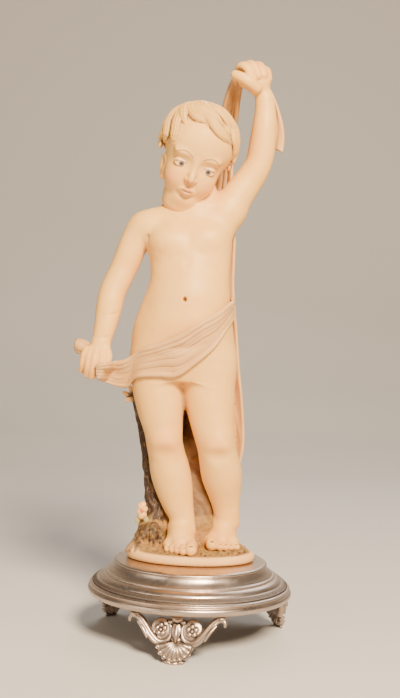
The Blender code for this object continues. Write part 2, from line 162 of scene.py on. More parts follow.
class Mass:
    """A body of the sculpture with a distance field."""

    blend: float = 0.0
    low: Array
    high: Array

    def touches(self, centre: Array, reach: float) -> bool:
        """Whether the body matters within reach of a place's middle."""
        gap = np.maximum(np.maximum(self.low - centre, centre - self.high), 0.0)
        return float(np.sqrt((gap * gap).sum())) < reach + self.blend + MARGIN

    def distance(self, points: Array, centre: Array, reach: float) -> Array:
        """Distances of points to the body, exact only near their place.

        Args:
            points: where the distances are wanted.
            centre: the middle of the place that holds them.
            reach: its half width.

        Returns:
            One distance for each point.
        """
        raise NotImplementedError


class Chain(Mass):
    """A tapering limb along a smooth line of stations."""

    def __init__(self, stations: Sequence[Station], blend: float = 6.0, fine: int = 6) -> None:
        """Set the limb out.

        Args:
            stations: points with a radius.
            blend: how softly it joins what is there.
            fine: how many spans are put between two stations.
        """
        bent = len(stations) > 2 and fine > 1
        rows = smooth_line(stations, (len(stations) - 1) * fine + 1) if bent else np.array(stations, dtype=np.float64)
        self.blend = blend
        self.start, self.end = rows[:-1, :3].astype(np.float32), rows[1:, :3].astype(np.float32)
        self.first, self.second = rows[:-1, 3].astype(np.float32), rows[1:, 3].astype(np.float32)
        self.low = (rows[:, :3] - rows[:, 3:]).min(axis=0)
        self.high = (rows[:, :3] + rows[:, 3:]).max(axis=0)
        self.middle = (self.start + self.end) / 2
        self.span = np.linalg.norm(self.end - self.start, axis=1)
        self.size = self.span / 2 + np.maximum(self.first, self.second)

    def distance(self, points: Array, centre: Array, reach: float) -> Array:
        """Distances to the limb."""
        away = np.linalg.norm(self.middle - centre, axis=1) - self.size
        near = np.flatnonzero(away < max(reach + self.blend + MARGIN, float(away.min()) + 0.01))
        best = np.full(len(points), 1e3, dtype=np.float32)
        for index in near:
            along = self.end[index] - self.start[index]
            span = max(float(self.span[index]), 1e-3)
            axis = along / span
            offset = points - self.start[index]
            height = offset @ axis
            radial = np.sqrt(np.maximum((offset * offset).sum(axis=1) - height * height, 0.0))
            slope = max(-0.95, min(0.95, float((self.first[index] - self.second[index]) / span)))
            rise = sqrt(1.0 - slope * slope)
            lean = np.clip(height + radial * slope / rise, 0.0, span)
            radius = self.first[index] - lean * slope
            best = np.minimum(best, np.sqrt(radial * radial + (height - lean) ** 2) - radius)
        return best


class Ball(Mass):
    """An ellipsoid, which may be turned."""

    def __init__(self, centre: Point, radii: Point, blend: float = 6.0, turn: Optional[Array] = None) -> None:
        """Set the ellipsoid out.

        Args:
            centre: its middle.
            radii: its three half widths.
            blend: how softly it joins what is there.
            turn: a rotation whose columns are its own axes.
        """
        self.centre = np.array(centre, dtype=np.float32)
        self.radii = np.array(radii, dtype=np.float32)
        self.blend = blend
        self.turn = None if turn is None else np.array(turn, dtype=np.float32)
        reach = self.radii if turn is None else np.abs(self.turn) @ self.radii
        self.low, self.high = self.centre - reach, self.centre + reach

    def distance(self, points: Array, centre: Array, reach: float) -> Array:
        """Distances to the ellipsoid, near its surface."""
        offset = points - self.centre
        if self.turn is not None:
            offset = offset @ self.turn
        return oval(offset / self.radii, self.radii)[1]


class Trunkwise(Mass):
    """A body of oval cross sections stacked upwards."""

    def __init__(self, rings: Rows, blend: float = 8.0) -> None:
        """Set the rings out.

        Args:
            rings: height, across, deep, half width and half depth of each oval.
            blend: how softly it joins what is there.
        """
        self.rows = smooth_line(rings, 80)
        self.blend = blend
        wide, deep = self.rows[:, 3].max(), self.rows[:, 4].max()
        self.low = np.array([self.rows[:, 1].min() - wide, self.rows[:, 2].min() - deep, self.rows[0, 0]])
        self.high = np.array([self.rows[:, 1].max() + wide, self.rows[:, 2].max() + deep, self.rows[-1, 0]])

    def distance(self, points: Array, centre: Array, reach: float) -> Array:
        """Distances to the stacked body, near its side."""
        height = points[:, 2]
        across, deep, wide, thick = (
            np.interp(height, self.rows[:, 0], self.rows[:, column]).astype(np.float32) for column in (1, 2, 3, 4))
        x, y = (points[:, 0] - across) / wide, (points[:, 1] - deep) / thick
        length = np.sqrt(x * x + y * y) + 1e-6
        steep = np.sqrt((x / wide) ** 2 + (y / thick) ** 2) + 1e-6
        side = length * (length - 1.0) / steep
        ends = np.maximum(self.low[2] - height, height - self.high[2])
        return np.maximum(side, ends).astype(np.float32)


class Lock(Mass):
    """A flat tapering lock of hair with strands along it."""

    def __init__(
            self, line: Array, outward: Array, width: float, thickness: float, strands: float) -> None:
        """Set the lock out.

        Args:
            line: the points along its middle.
            outward: the way away from the head at each point.
            width: its half width at the fullest place.
            thickness: its half thickness there.
            strands: how many strands lie side by side.
        """
        count = len(line)
        part = np.linspace(0.0, 1.0, count)
        full = 0.35 + 0.65 * np.sin(pi * np.clip(0.12 + part * 0.80, 0, 1)) ** 0.7
        full *= np.clip((1.04 - part) / 0.35, 0.12, 1.0) ** 0.6
        self.blend = 1.2
        self.line = line.astype(np.float32)
        self.outward = outward.astype(np.float32)
        self.width = (width * full).astype(np.float32)
        self.thick = (thickness * (0.16 + 0.84 * full)).astype(np.float32)
        self.strands = strands
        self.low, self.high = line.min(axis=0) - width, line.max(axis=0) + width
        self.middle = (self.line[:-1] + self.line[1:]) / 2
        self.size = np.linalg.norm(self.line[1:] - self.line[:-1], axis=1) / 2 + width

    def distance(self, points: Array, centre: Array, reach: float) -> Array:
        """Distances to the lock, lower along its strands' grooves."""
        away = np.linalg.norm(self.middle - centre, axis=1) - self.size
        near = np.flatnonzero(away < max(reach + MARGIN, float(away.min()) + 0.01))
        best = np.full(len(points), 1e3, dtype=np.float32)
        for index in near:
            start, end = self.line[index], self.line[index + 1]
            span = float(np.linalg.norm(end - start)) + 1e-4
            axis = (end - start) / span
            up = self.outward[index]
            up = up - axis * float(up @ axis)
            up = up / (float(np.linalg.norm(up)) + 1e-6)
            side = np.cross(axis, up)
            offset = points - start
            along = offset @ axis
            part = np.clip(along / span, 0.0, 1.0)
            beyond = along - part * span
            lateral, lift = offset @ side, offset @ up
            wide = self.width[index] * (1 - part) + self.width[index + 1] * part
            thick = self.thick[index] * (1 - part) + self.thick[index + 1] * part
            across = lateral / wide
            shape = np.sqrt(across ** 2 + (lift / thick) ** 2 + (beyond / thick) ** 2) + 1e-6
            groove = 0.75 * np.cos(across * pi * self.strands) * np.clip(1.15 - np.abs(across), 0, 1)
            best = np.minimum(best, (shape - 1.0) * thick + groove)
        return best


@dataclass
class Sculpture:
    """A body built up from masses, with carving done afterwards."""

    masses: list[Mass] = field(default_factory=list)
    carvings: list[tuple[Mass, float]] = field(default_factory=list)
    relief: list[Callable[[Array], Array]] = field(default_factory=list)
    keep: Optional[Callable[[Array], Array]] = None

    def add(self, *masses: Mass) -> None:
        """Add masses in their order."""
        self.masses.extend(masses)

    def carve(self, mass: Mass, blend: float) -> None:
        """Cut a mass away with an edge rounded by the blend."""
        self.carvings.append((mass, blend))

    def at(self, points: Array, centre: Array, reach: float) -> Array:
        """Distances of points in one place.

        Args:
            points: the points.
            centre: the middle of the place that holds them.
            reach: its half width.

        Returns:
            One distance for each point.
        """
        total = np.full(len(points), 2 * FAR, dtype=np.float32)
        for mass in self.masses:
            if mass.touches(centre, reach):
                total = smooth_union(total, mass.distance(points, centre, reach), mass.blend)
        for mass, blend in self.carvings:
            if mass.touches(centre, reach):
                total = smooth_carve(total, mass.distance(points, centre, reach), blend)
        for relief in self.relief:
            total = total + relief(points)
        if self.keep is not None:
            total = np.maximum(total, self.keep(points))
        return total

    def sample(self, points: Array, cell: float = 24.0) -> Array:
        """Distances of scattered points, worked out cell by cell.

        Args:
            points: the points.
            cell: width of a cell.

        Returns:
            One distance for each point.
        """
        points = points.astype(np.float32)
        key = np.floor(points / cell).astype(np.int64)
        code = (key[:, 0] + 512) * 1048576 + (key[:, 1] + 512) * 1024 + key[:, 2] + 512
        order = np.argsort(code, kind="stable")
        borders = np.flatnonzero(np.diff(code[order])) + 1
        out = np.empty(len(points), dtype=np.float32)
        for group in np.split(order, borders):
            if len(group):
                inside = points[group]
                centre = (inside.min(axis=0) + inside.max(axis=0)) / 2
                reach = float(np.linalg.norm(inside.max(axis=0) - centre))
                out[group] = self.at(inside, centre, reach)
        return out

    def box(self, margin: float = 5.0) -> tuple[Array, Array]:
        """The lowest and highest corner of all the masses, with a margin."""
        low = np.min([mass.low for mass in self.masses], axis=0) - margin
        high = np.max([mass.high for mass in self.masses], axis=0) + margin
        return low, high

    def surface(self, voxel: float) -> Skin:
        """Skin the body, working only in the blocks that its surface runs through.

        Args:
            voxel: the grid's pitch.

        Returns:
            Corners in the body's own frame, and four-sided faces.
        """
        low, high = self.box()
        block = 14
        counts = np.ceil((high - low) / voxel / block).astype(int)
        grid = np.full(counts * block + 1, FAR, dtype=np.float32)
        steps = np.arange(block + 1, dtype=np.float32) * np.float32(voxel)
        cube = np.stack(np.meshgrid(steps, steps, steps, indexing="ij"), axis=-1).reshape(-1, 3)
        half = block * voxel / 2
        reach = half * sqrt(3.0)
        index = np.stack(np.meshgrid(*[np.arange(n) for n in counts], indexing="ij"), axis=-1).reshape(-1, 3)
        corners = low + index * (block * voxel)
        middles = (corners + half).astype(np.float32)
        rough = self.sample(middles, 48.0)
        band = reach * 1.25 + 5.0
        for spot in np.flatnonzero(np.abs(rough) < band):
            values = self.at(cube + corners[spot].astype(np.float32), middles[spot], reach)
            i, j, k = index[spot] * block
            grid[i:i + block + 1, j:j + block + 1, k:k + block + 1] = values.reshape((block + 1,) * 3)
        for spot in np.flatnonzero(rough < -band):
            i, j, k = index[spot] * block
            part = grid[i:i + block + 1, j:j + block + 1, k:k + block + 1]
            part[part > FAR - 1.0] = -FAR
        return surface_net(grid, voxel, low)


def surface_net(grid: Array, voxel: float, low: Array) -> Skin:
    """Skin a grid of distances.

    Args:
        grid: distances at the grid's points.
        voxel: the grid's pitch.
        low: the place of its first point.

    Returns:
        Corners and outward four-sided faces.
    """
    inside = grid < 0.0
    offsets = [(i, j, k) for i in (0, 1) for j in (0, 1) for k in (0, 1)]
    shape = tuple(n - 1 for n in grid.shape)
    count = np.zeros(shape, dtype=np.int8)
    for i, j, k in offsets:
        count += inside[i:i + shape[0], j:j + shape[1], k:k + shape[2]]
    active = (count > 0) & (count < 8)
    cells = np.argwhere(active)
    number = np.full(shape, -1, dtype=np.int32)
    number[active] = np.arange(len(cells), dtype=np.int32)
    values = np.stack([grid[cells[:, 0] + i, cells[:, 1] + j, cells[:, 2] + k] for i, j, k in offsets], axis=1)
    total = np.zeros((len(cells), 3))
    crossings = np.zeros(len(cells))
    for a in range(8):
        for b in range(a + 1, 8):
            gap = [offsets[b][n] - offsets[a][n] for n in range(3)]
            if sum(abs(n) for n in gap) != 1:
                continue
            first, second = values[:, a], values[:, b]
            cross = (first < 0) != (second < 0)
            share = np.where(cross, first / np.where(cross, first - second, 1.0), 0.0)
            for n in range(3):
                total[:, n] += np.where(cross, offsets[a][n] + share * gap[n], 0.0)
            crossings += cross
    corners = (cells + total / crossings[:, None]) * voxel + low
    faces = []
    for axis in range(3):
        u, v = (axis + 1) % 3, (axis + 2) % 3
        ahead, behind = [slice(None)] * 3, [slice(None)] * 3
        ahead[axis], behind[axis] = slice(1, None), slice(None, -1)
        spots = np.argwhere(inside[tuple(ahead)] != inside[tuple(behind)])
        spots = spots[(spots[:, u] > 0) & (spots[:, v] > 0)]
        spots = spots[(spots[:, u] < shape[u]) & (spots[:, v] < shape[v]) & (spots[:, axis] < shape[axis])]
        quad = []
        for du, dv in ((1, 1), (0, 1), (0, 0), (1, 0)):
            cell = spots.copy()
            cell[:, u] -= du
            cell[:, v] -= dv
            quad.append(number[cell[:, 0], cell[:, 1], cell[:, 2]])
        quad = np.stack(quad, axis=1)
        leaving = inside[spots[:, 0], spots[:, 1], spots[:, 2]]
        quad[~leaving] = quad[~leaving][:, ::-1]
        faces.append(quad)
    return corners, np.concatenate(faces)


class Placing:
    """How a body's own frame stands in the model."""

    def __init__(self, matrix: Matrix) -> None:
        """Keep the matrix from the body's own frame to metres."""
        self.matrix = matrix
        self.turn, self.shift = np.array(matrix)[:3, :3], np.array(matrix)[:3, 3]
        self.undo = np.linalg.inv(self.turn)

    def out(self, points: Array) -> Array:
        """Points of the body's frame in metres."""
        return points @ self.turn.T + self.shift

    def back(self, points: Array) -> Array:
        """Points in metres in the body's frame."""
        return (points - self.shift) @ self.undo.T


METRES = Placing(Matrix.Identity(4))
FIGURE = Placing(Matrix.Translation(ORIGIN) @ Matrix.Scale(SHARE, 4))


class Piece:
    """A mesh piece of the model."""

    def __init__(
            self, name: str, placing: Placing, corners: Array, faces: Array, node: str, slot: str) -> None:
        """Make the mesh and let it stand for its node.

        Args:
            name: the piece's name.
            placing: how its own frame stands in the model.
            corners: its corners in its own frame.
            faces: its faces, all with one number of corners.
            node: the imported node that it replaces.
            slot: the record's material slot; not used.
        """
        self.placing = placing
        corners = placing.out(corners)
        mesh = bpy.data.meshes.new(name)
        sides = faces.shape[1]
        mesh.vertices.add(len(corners))
        mesh.vertices.foreach_set("co", corners.astype(np.float32).ravel())
        mesh.loops.add(faces.size)
        mesh.loops.foreach_set("vertex_index", faces.astype(np.int32).ravel())
        mesh.polygons.add(len(faces))
        mesh.polygons.foreach_set("loop_start", np.arange(0, faces.size, sides, dtype=np.int32))
        mesh.update(calc_edges=True)
        mesh.validate()
        self.thing = bpy.data.objects.new(name, mesh)
        bpy.context.scene.collection.objects.link(self.thing)
        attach(self.thing, "root")
        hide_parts(node)

    def thin(self, triangles: int) -> None:
        """Reduce the mesh to about so many triangles, keeping the detail where the surface bends."""
        mesh = self.thing.data
        mesh.calc_loop_triangles()
        whole = len(mesh.loop_triangles)
        if whole > triangles:
            modifier = self.thing.modifiers.new("Facets", "DECIMATE")
            modifier.ratio = triangles / whole
            modifier.use_collapse_triangulate = True
            bpy.context.view_layer.update()
            graph = bpy.context.evaluated_depsgraph_get()
            lighter = bpy.data.meshes.new_from_object(self.thing.evaluated_get(graph))
            self.thing.modifiers.clear()
            self.thing.data = lighter
            bpy.data.meshes.remove(mesh)
        LOG.info("%s: %d of %d triangles", self.thing.name, len(self.thing.data.polygons), whole)

    def corners(self, what: str = "co") -> Array:
        """The corners in metres, or their normals."""
        out = np.empty(len(self.thing.data.vertices) * 3, dtype=np.float32)
        self.thing.data.vertices.foreach_get(what, out)
        return out.reshape(-1, 3)

    def normals(self) -> Array:
        """The smooth normals at the corners."""
        return self.corners("normal")

    def mark(self, name: str, values: Array) -> None:
        """Keep one number for each corner, for the finish to read."""
        layer = self.thing.data.attributes.new(name, "FLOAT", "POINT")
        layer.data.foreach_set("value", np.clip(values, 0.0, 1.0).astype(np.float32))

    def mark_hollows(self, body: Sculpture, near: float, far: float) -> None:
        """Mark how deep each corner lies in a groove, in a fine and a wide measure.

        Args:
            body: the field that the mesh was skinned from.
            near: how far off the surface the fine grooves are felt.
            far: how far off the wide hollows are felt.
        """
        points = self.placing.back(self.corners())
        ways = self.normals() @ self.placing.turn
        ways /= np.linalg.norm(ways, axis=1, keepdims=True) + 1e-9
        for name, step in (("groove", near), ("hollow", far)):
            free = body.sample(points + ways * step)
            self.mark(name, (step - free) / step)

    def finish(self, material: Material) -> None:
        """Give the piece its material and smooth shading."""
        data = self.thing.data
        data.materials.clear()
        data.materials.append(material)
        data.polygons.foreach_set("use_smooth", np.ones(len(data.polygons), dtype=bool))
        data.update()
        LOG.info("%s: finished in %s", self.thing.name, material.name)

    def mark_creases(self, name: str, rounds: int, gain: float, depth: float = 0.0) -> None:
        """Mark the corners that lie lower than their neighbours.

        Args:
            name: the mark's name.
            rounds: how many neighbours away the measure reaches.
            gain: how strongly a crease is marked.
            depth: how deep a crease has to be, in shares of the corners' spacing.
        """
        mesh = self.thing.data
        points, normals = self.corners().astype(np.float64), self.normals()
        ends = np.empty(len(mesh.edges) * 2, dtype=np.int32)
        mesh.edges.foreach_get("vertices", ends)
        first, second = ends.reshape(-1, 2).T
        count = np.bincount(ends, minlength=len(points)).clip(1)
        spacing = float(np.linalg.norm(points[first] - points[second], axis=1).mean())
        smooth = points
        for _ in range(rounds):
            total = np.stack([
                np.bincount(first, weights=smooth[second, axis], minlength=len(points))
                + np.bincount(second, weights=smooth[first, axis], minlength=len(points)) for axis in range(3)], axis=1)
            smooth = total / count[:, None]
        rise = ((smooth - points) * normals).sum(axis=1) / spacing
        self.mark(name, (rise - depth) * gain)

    def mark_nearness(self, name: str, other: Sculpture, reach: float) -> None:
        """Mark where the piece comes close to another body, for the painted shade and brown washes that darken such
        places.
        """
        points = self.placing.back(self.corners())
        ahead = self.placing.back(self.corners() + self.normals() * float(SHARE * reach * 0.6))
        free = np.minimum(other.sample(ahead), other.sample(points) + reach)
        self.mark(name, 1.0 - free / reach)


def porcelain(name: str, placing: Placing, skin: Skin, triangles: int) -> Piece:
    """Make a piece of the cast figurine.

    Args:
        name: the piece's name.
        placing: how its own frame stands in the model.
        skin: its corners and faces.
        triangles: about how many triangles it may keep.

    Returns:
        The piece.
    """
    piece = Piece(name, placing, *skin, "boy_figurine", "porcelain")
    piece.thin(triangles)
    return piece


def sheet_mesh(centres: Array, thickness: float, rounding: int) -> Skin:
    """Close a sheet of points into a body with rounded borders.

    Args:
        centres: rows and columns of points on the sheet's middle.
        thickness: how thick it is away from its borders.
        rounding: over how many rows and columns the borders are rounded.

    Returns:
        Corners and four-sided faces.
    """
    rows, columns = centres.shape[:2]
    normal = np.cross(np.gradient(centres, axis=1), np.gradient(centres, axis=0))
    normal /= np.linalg.norm(normal, axis=2, keepdims=True) + 1e-9
    i, j = np.meshgrid(np.arange(rows), np.arange(columns), indexing="ij")
    border = np.minimum(np.minimum(i, rows - 1 - i), np.minimum(j, columns - 1 - j)) / rounding
    full = np.sqrt(1.0 - (1.0 - np.clip(border, 0.0, 1.0)) ** 2)[..., None] * thickness / 2
    front, back = centres + normal * full, centres - normal * full
    number = np.arange(rows * columns).reshape(rows, columns)
    inner = (border > 0)
    other = number.copy()
    other[inner] = rows * columns + np.arange(int(inner.sum()))
    corners = np.concatenate([front.reshape(-1, 3), back[inner]])
    a, b, c, d = number[:-1, :-1], number[:-1, 1:], number[1:, 1:], number[1:, :-1]
    faces = np.stack([a, b, c, d], axis=-1).reshape(-1, 4)
    a, b, c, d = other[:-1, :-1], other[:-1, 1:], other[1:, 1:], other[1:, :-1]
    return corners, np.concatenate([faces, np.stack([d, c, b, a], axis=-1).reshape(-1, 4)])


def folds(part: Array, centres: Sequence[float], widths: Sequence[float], heights: Sequence[float]) -> Array:
    """Rounded rolls of cloth side by side, with sharp valleys between them.

    Args:
        part: how far across the cloth each point lies.
        centres: where the rolls lie.
        widths: their half widths.
        heights: how far they stand out.

    Returns:
        How far the cloth stands out at each point.
    """
    out = np.zeros_like(part)
    for centre, width, height in zip(centres, widths, heights):
        reach = np.clip(1.0 - ((part - centre) / width) ** 2, 0.0, 1.0)
        out = np.maximum(out, height * np.sqrt(reach))
    return out


# The sub-assemblies


@dataclass
class BoyHead:
    """The bowed head with its own plain child's face and wavy hair."""

    centre: Point = (-14.0, -22.0, 828.0)
    bow: float = 24.0
    lean: float = 15.0
    turn: float = 9.0
    skull: Point = (69.0, 72.0, 70.0)
    scalp_centre: Point = (-1.0, 4.0, 4.0)
    scalp: Point = (73.0, 74.0, 74.0)
    eye: Point = (27.5, -49.5, -29.0)
    eye_radius: float = 15.0
    voxel: float = 1.1
    triangles: int = 150000
    hairline: tuple[tuple[float, float], ...] = (
        (-180, -34), (-125, -33), (-98, -20), (-84, -12), (-70, -14), (-56, -6), (-49, 8), (-50, 24), (-44, 34),
        (-30, 45), (-14, 49), (0, 50), (14, 44), (30, 36), (45, 30), (57, 20), (62, 6), (68, -8), (74, -24),
        (92, -34), (125, -33), (180, -34))
    side_locks: tuple[tuple[tuple[float, float], ...], ...] = (
        ((-122, 60), (-98, 47), (-76, 37), (-60, 24), (-51, 10), (-50, -3), (-62, -14)),
        ((-126, 56), (-101, 43), (-93, 31), (-80, 17), (-68, 3), (-71, -8), (-84, -17)),
        ((-132, 52), (-108, 40), (-97, 26), (-91, 9), (-86, -5), (-83, -15)),
        ((-142, 46), (-120, 34), (-108, 18), (-101, 2), (-97, -10), (-90, -19)),
        ((-112, 62), (-90, 53), (-70, 44), (-55, 37), (-43, 29)),
        ((-112, 62), (-86, 58), (-58, 52), (-36, 47), (-16, 46), (0, 47)),
        ((-126, 70), (-85, 68), (-45, 61), (-18, 56), (4, 51), (22, 43)),
        ((-145, 74), (-95, 74), (-30, 69), (4, 61), (26, 51), (40, 41)),
        ((180, 76), (-150, 85), (20, 79), (46, 65), (57, 50), (62, 35)),
        ((172, 72), (140, 79), (107, 68), (81, 54), (75, 38), (72, 22)),
        ((-34, 61), (-12, 54), (4, 50), (17, 42), (30, 37), (44, 33), (55, 23)),
        ((-12, 58), (0, 51), (10, 43), (22, 35), (34, 30), (48, 24), (57, 15)),
        ((96, 52), (80, 38), (75, 24), (76, 10), (83, -4), (82, -15)),
        ((66, 42), (57, 30), (63, 18), (68, 5), (73, -9)),
        ((150, 68), (120, 52), (103, 34), (97, 14), (98, -6), (92, -22)),
        ((104, 40), (92, 22), (90, 6), (86, -10), (90, -22), (84, -33)),
    )

    def __post_init__(self) -> None:
        """Work out how the head stands on the figure."""
        angles = (radians(self.bow), radians(self.lean), radians(self.turn))
        stance = Euler(angles, "XZY").to_matrix().to_4x4()
        self.placing = Placing(FIGURE.matrix @ Matrix.Translation(self.centre) @ stance)
        self.body = Sculpture()

    def on_scalp(self, azimuth: float, elevation: float, lift: float = 0.0) -> Array:
        """A point on the scalp, its azimuth from the face towards the raised arm."""
        a, e = radians(azimuth), radians(elevation)
        way = np.array((sin(a) * cos(e), -cos(a) * cos(e), sin(e)))
        return np.array(self.scalp_centre) + way * (np.array(self.scalp) + lift)

    def on_face(self, x: float, z: float) -> Point:
        """The point of the bare face straight behind a place seen from the front."""
        spot = np.array([(x, -110.0, z)])
        for _ in range(16):
            spot[0, 1] += float(self.bare.sample(spot)[0]) * 0.9
        return tuple(spot[0])

    def sculpt_face(self) -> None:
        """Lay out the skull, cheeks, brow, eyes, nose, lips, chin and one ear."""
        add, carve = self.body.add, self.body.carve
        add(Ball((0, 4, 2), self.skull, 0.0), Ball((0, -16, 6), (62, 52, 54), 14))
        add(Ball((0, -20, -42), (54, 49, 48), 12), Ball((0, -20, -78), (44, 43, 33), 14))
        add(Ball((2, -26, -104), (40, 36, 24), 16), Ball((4, -24, -122), (40, 36, 20), 16))
        add(Ball((0, -50, -99), (17, 16, 13), 14))
        for side in (-1, 1):
            add(Ball((side * 25, -40, -63), (25, 28, 26), 14))
            add(Ball((side * 25, -58, -9), (21, 9, 6), 12))
            carve(Ball((side * 26, -77, -28), (18, 10, 12), 0), 10)
        x, y, z = self.eye
        for side in (-1, 1):
            add(Ball((side * x, y, z), (self.eye_radius,) * 3, 1.0))
            self.lid(side, 13.0, 2.5, 2.0)
            self.lid(side, -28.0, 2.0, 3.0)
        add(Chain([(0, -63, -16, 5.5), (0, -68.5, -34, 5.2), (0, -75, -49, 6.4), (0, -76, -53.5, 6.9)], 9))
        for side in (-1, 1):
            add(Ball((side * 7.8, -70.5, -55.5), (4.8, 5.2, 4.4), 4))
            carve(Ball((side * 4.4, -75.5, -61.5), (2.2, 3.2, 1.8), 0), 2)
        add(Ball((0, -63.5, -80), (16, 9.5, 9), 7))
        for side in (-1, 1):
            add(Chain([(side * 14.5, -67, -78.6, 1.2), (side * 8, -71.5, -76.0, 2.8), (side * 3, -73.6, -75.0, 3.0),
                       (0, -73.6, -75.8, 2.8)], 1.6))
        add(Chain([(-11, -68.5, -81.4, 1.8), (-6, -71.2, -83.0, 3.4), (0, -72.4, -83.8, 4.2), (6, -71.2, -83.0, 3.4),
                   (11, -68.5, -81.4, 1.8)], 1.6))
        carve(Chain([(0, -76.5, -63, 1.6), (0, -76, -70, 2.0)], 0), 3)
        carve(Chain([(-9, -69, -91, 3), (0, -72, -92, 4), (9, -69, -91, 3)], 0), 6)
        self.ear(-1)

    def lid(self, side: int, rise: float, thick: float, blend: float) -> None:
        """Lay one eyelid over the ball of the eye.

        Args:
            side: -1 or 1.
            rise: degrees from the eye's middle up to the lid's edge.
            thick: the lid's half thickness.
            blend: how softly it goes over into the brow or cheek.
        """
        x, y, z = self.eye
        rows = []
        for step in range(9):
            part = step / 8 * 2 - 1
            across = radians(62 * part)
            up = radians(rise * (1 - part * part) ** 0.7 - 4 * part * part)
            reach = self.eye_radius + 0.7
            rows.append((
                side * x + reach * sin(across) * cos(up), y - reach * cos(across) * cos(up),
                z + reach * sin(up), thick * (1.0 - 0.35 * part * part)))
        self.body.add(Chain(rows, blend, 1))

    def ear(self, side: int) -> None:
        """Model one ear with its rolled edge, hollow and lobe."""
        self.body.add(Ball((side * 49, -12, -60), (8, 13, 22), 8, tilted(side * 26, "Z")))
        edge = [(side * 49, -25, -55, 2.6), (side * 53, -24, -45, 3.2), (side * 57, -17, -38, 3.6),
                (side * 60, -8, -42, 3.8), (side * 59, -6, -56, 3.8), (side * 56, -10, -70, 3.8),
                (side * 50, -17, -81, 5.0)]
        self.body.add(Chain(edge, 3))
        self.body.carve(Ball((side * 59, -17, -54), (4.5, 4.5, 9), 0), 4)
        self.body.add(Ball((side * 48, -25, -63), (4, 4, 5), 3))

    def sculpt_hair(self) -> None:
        """Lay the cap of hair and its combed, wavy locks."""
        self.body.add(HairCap(self))
        random = np.random.default_rng(11)
        for index, guide in enumerate(self.side_locks):
            wide = 11.0 if index not in (5, 10, 11, 13) else 8.5
            self.lock(guide, wide, 6.2, 3.4 if wide > 10 else 2.6, 2.6 + 1.3 * (index * 2 % 3))
        for row in range(13):
            azimuth = 112 + row * 12.0
            start, end = 176 + (azimuth - 184) * 0.3, azimuth + random.uniform(-5, 5)
            bow = random.uniform(-9, 9)
            guide = (
                (start, 70), (azimuth + bow, 44), (azimuth - bow, 20), (end + bow, -4), (end - bow, -22), (end, -34))
            self.lock(guide if row > 1 else guide[:4], 12.5, 5.6, 3.6, 2.5 + 1.2 * (row % 3))
        for row in range(1, 9):
            azimuth = 124 + row * 15.0
            bow = random.uniform(-12, 12)
            guide = ((azimuth, 24), (azimuth + bow, 6), (azimuth, -14), (azimuth - bow, -30), (azimuth + bow, -42))
            self.lock(guide, 10.0, 5.4, 2.8, 4.0 + 1.2 * (row % 2))
        for row in range(8):
            azimuth = 150 + row * 24.0
            guide = ((azimuth, 84), (azimuth + 30, 70), (azimuth + 44, 54), (azimuth + 40, 38))
            self.lock(guide, 11.0, 5.0, 3.2, 3.0)
        for azimuth, elevation in ((-90, -13), (-83, -4)):
            self.body.add(Ball(tuple(self.on_scalp(azimuth, elevation, 1.0)), (8, 9, 9), 3))
        for turn, azimuth, elevation, size in (
                (-1, -90, -8, 8.5), (-1, -80, -19, 6.5), (1, 82, -20, 6.0), (1, 76, -6, 5.5), (-1, -96, -20, 6.0)):
            curl = []
            middle = self.on_scalp(azimuth, elevation, 5.0)
            for step in range(9):
                angle, reach = step * 0.75 * turn, size * (1.1 - 0.09 * step)
                way = np.array((0.3 * cos(angle), cos(angle), sin(angle)))
                curl.append((*(middle + way * reach), 3.2))
            self.body.add(Chain(curl, 1.0, 1))

    def lock(
            self, guide: Sequence[tuple[float, float]], wide: float, thick: float, strands: float, lift: float) -> None:
        """Lay one lock along a guide on the scalp.

        Args:
            guide: azimuths and elevations along it.
            wide: its half width.
            thick: its half thickness.
            strands: how many strands it shows.
            lift: how far it stands off the scalp.
        """
        knots = [self.on_scalp(azimuth, elevation) for azimuth, elevation in guide]
        line = smooth_line(knots, 14)
        outward = line - np.array(self.scalp_centre)
        outward /= np.linalg.norm(outward, axis=1, keepdims=True)
        part = np.linspace(0, 1, len(line))[:, None]
        line = line + outward * (lift * np.sin(pi * np.clip(part * 0.85 + 0.1, 0, 1)) - 1.0 - 2.6 * part ** 4)
        self.body.add(Lock(line, outward, wide, thick, strands))

    def build(self) -> Piece:
        """Sculpt the head and make its mesh.

        Returns:
            The head.
        """
        self.sculpt_face()
        self.bare = Sculpture(list(self.body.masses), list(self.body.carvings))
        self.sculpt_hair()
        grain = (3.0, 3.0, 3.0)
        self.body.relief.append(lambda points: 0.05 * ripple(points, 9.0, 3, grain))
        return porcelain("boy_head", self.placing, self.body.surface(self.voxel), self.triangles)

    def dress(self, piece: Piece, finish: "Bisque") -> None:
        """Mark the hair, lips, cheeks and the hollows that washes and painted shade darken, and give the head its
        finish.

        Args:
            piece: the head.
            finish: its material maker.
        """
        points = self.placing.back(piece.corners())
        bare = self.bare.sample(points)
        piece.mark("hair", (bare - 0.35) / 0.9)
        x, y, z = points.T
        lips = (x / 14.5) ** 2 + ((z + 79.5) / 8.5) ** 2
        piece.mark("lips", np.where(y < -60, 1.6 * (1.05 - lips), 0.0))
        flush = sum(np.exp(-(((x - side * 36) / 19) ** 2 + ((z + 60) / 17) ** 2)) for side in (-1, 1))
        tip = 0.6 * np.exp(-((x / 10) ** 2 + ((z + 56) / 9) ** 2))
        chin = 0.35 * np.exp(-((x / 14) ** 2 + ((z + 104) / 10) ** 2))
        piece.mark("flush", np.where(y < -20, flush + tip + chin, 0.0))
        piece.mark_hollows(self.body, 1.7, 7.0)
        piece.mark_creases("fine", 2, 2.2, 0.04)
        piece.finish(finish.make())


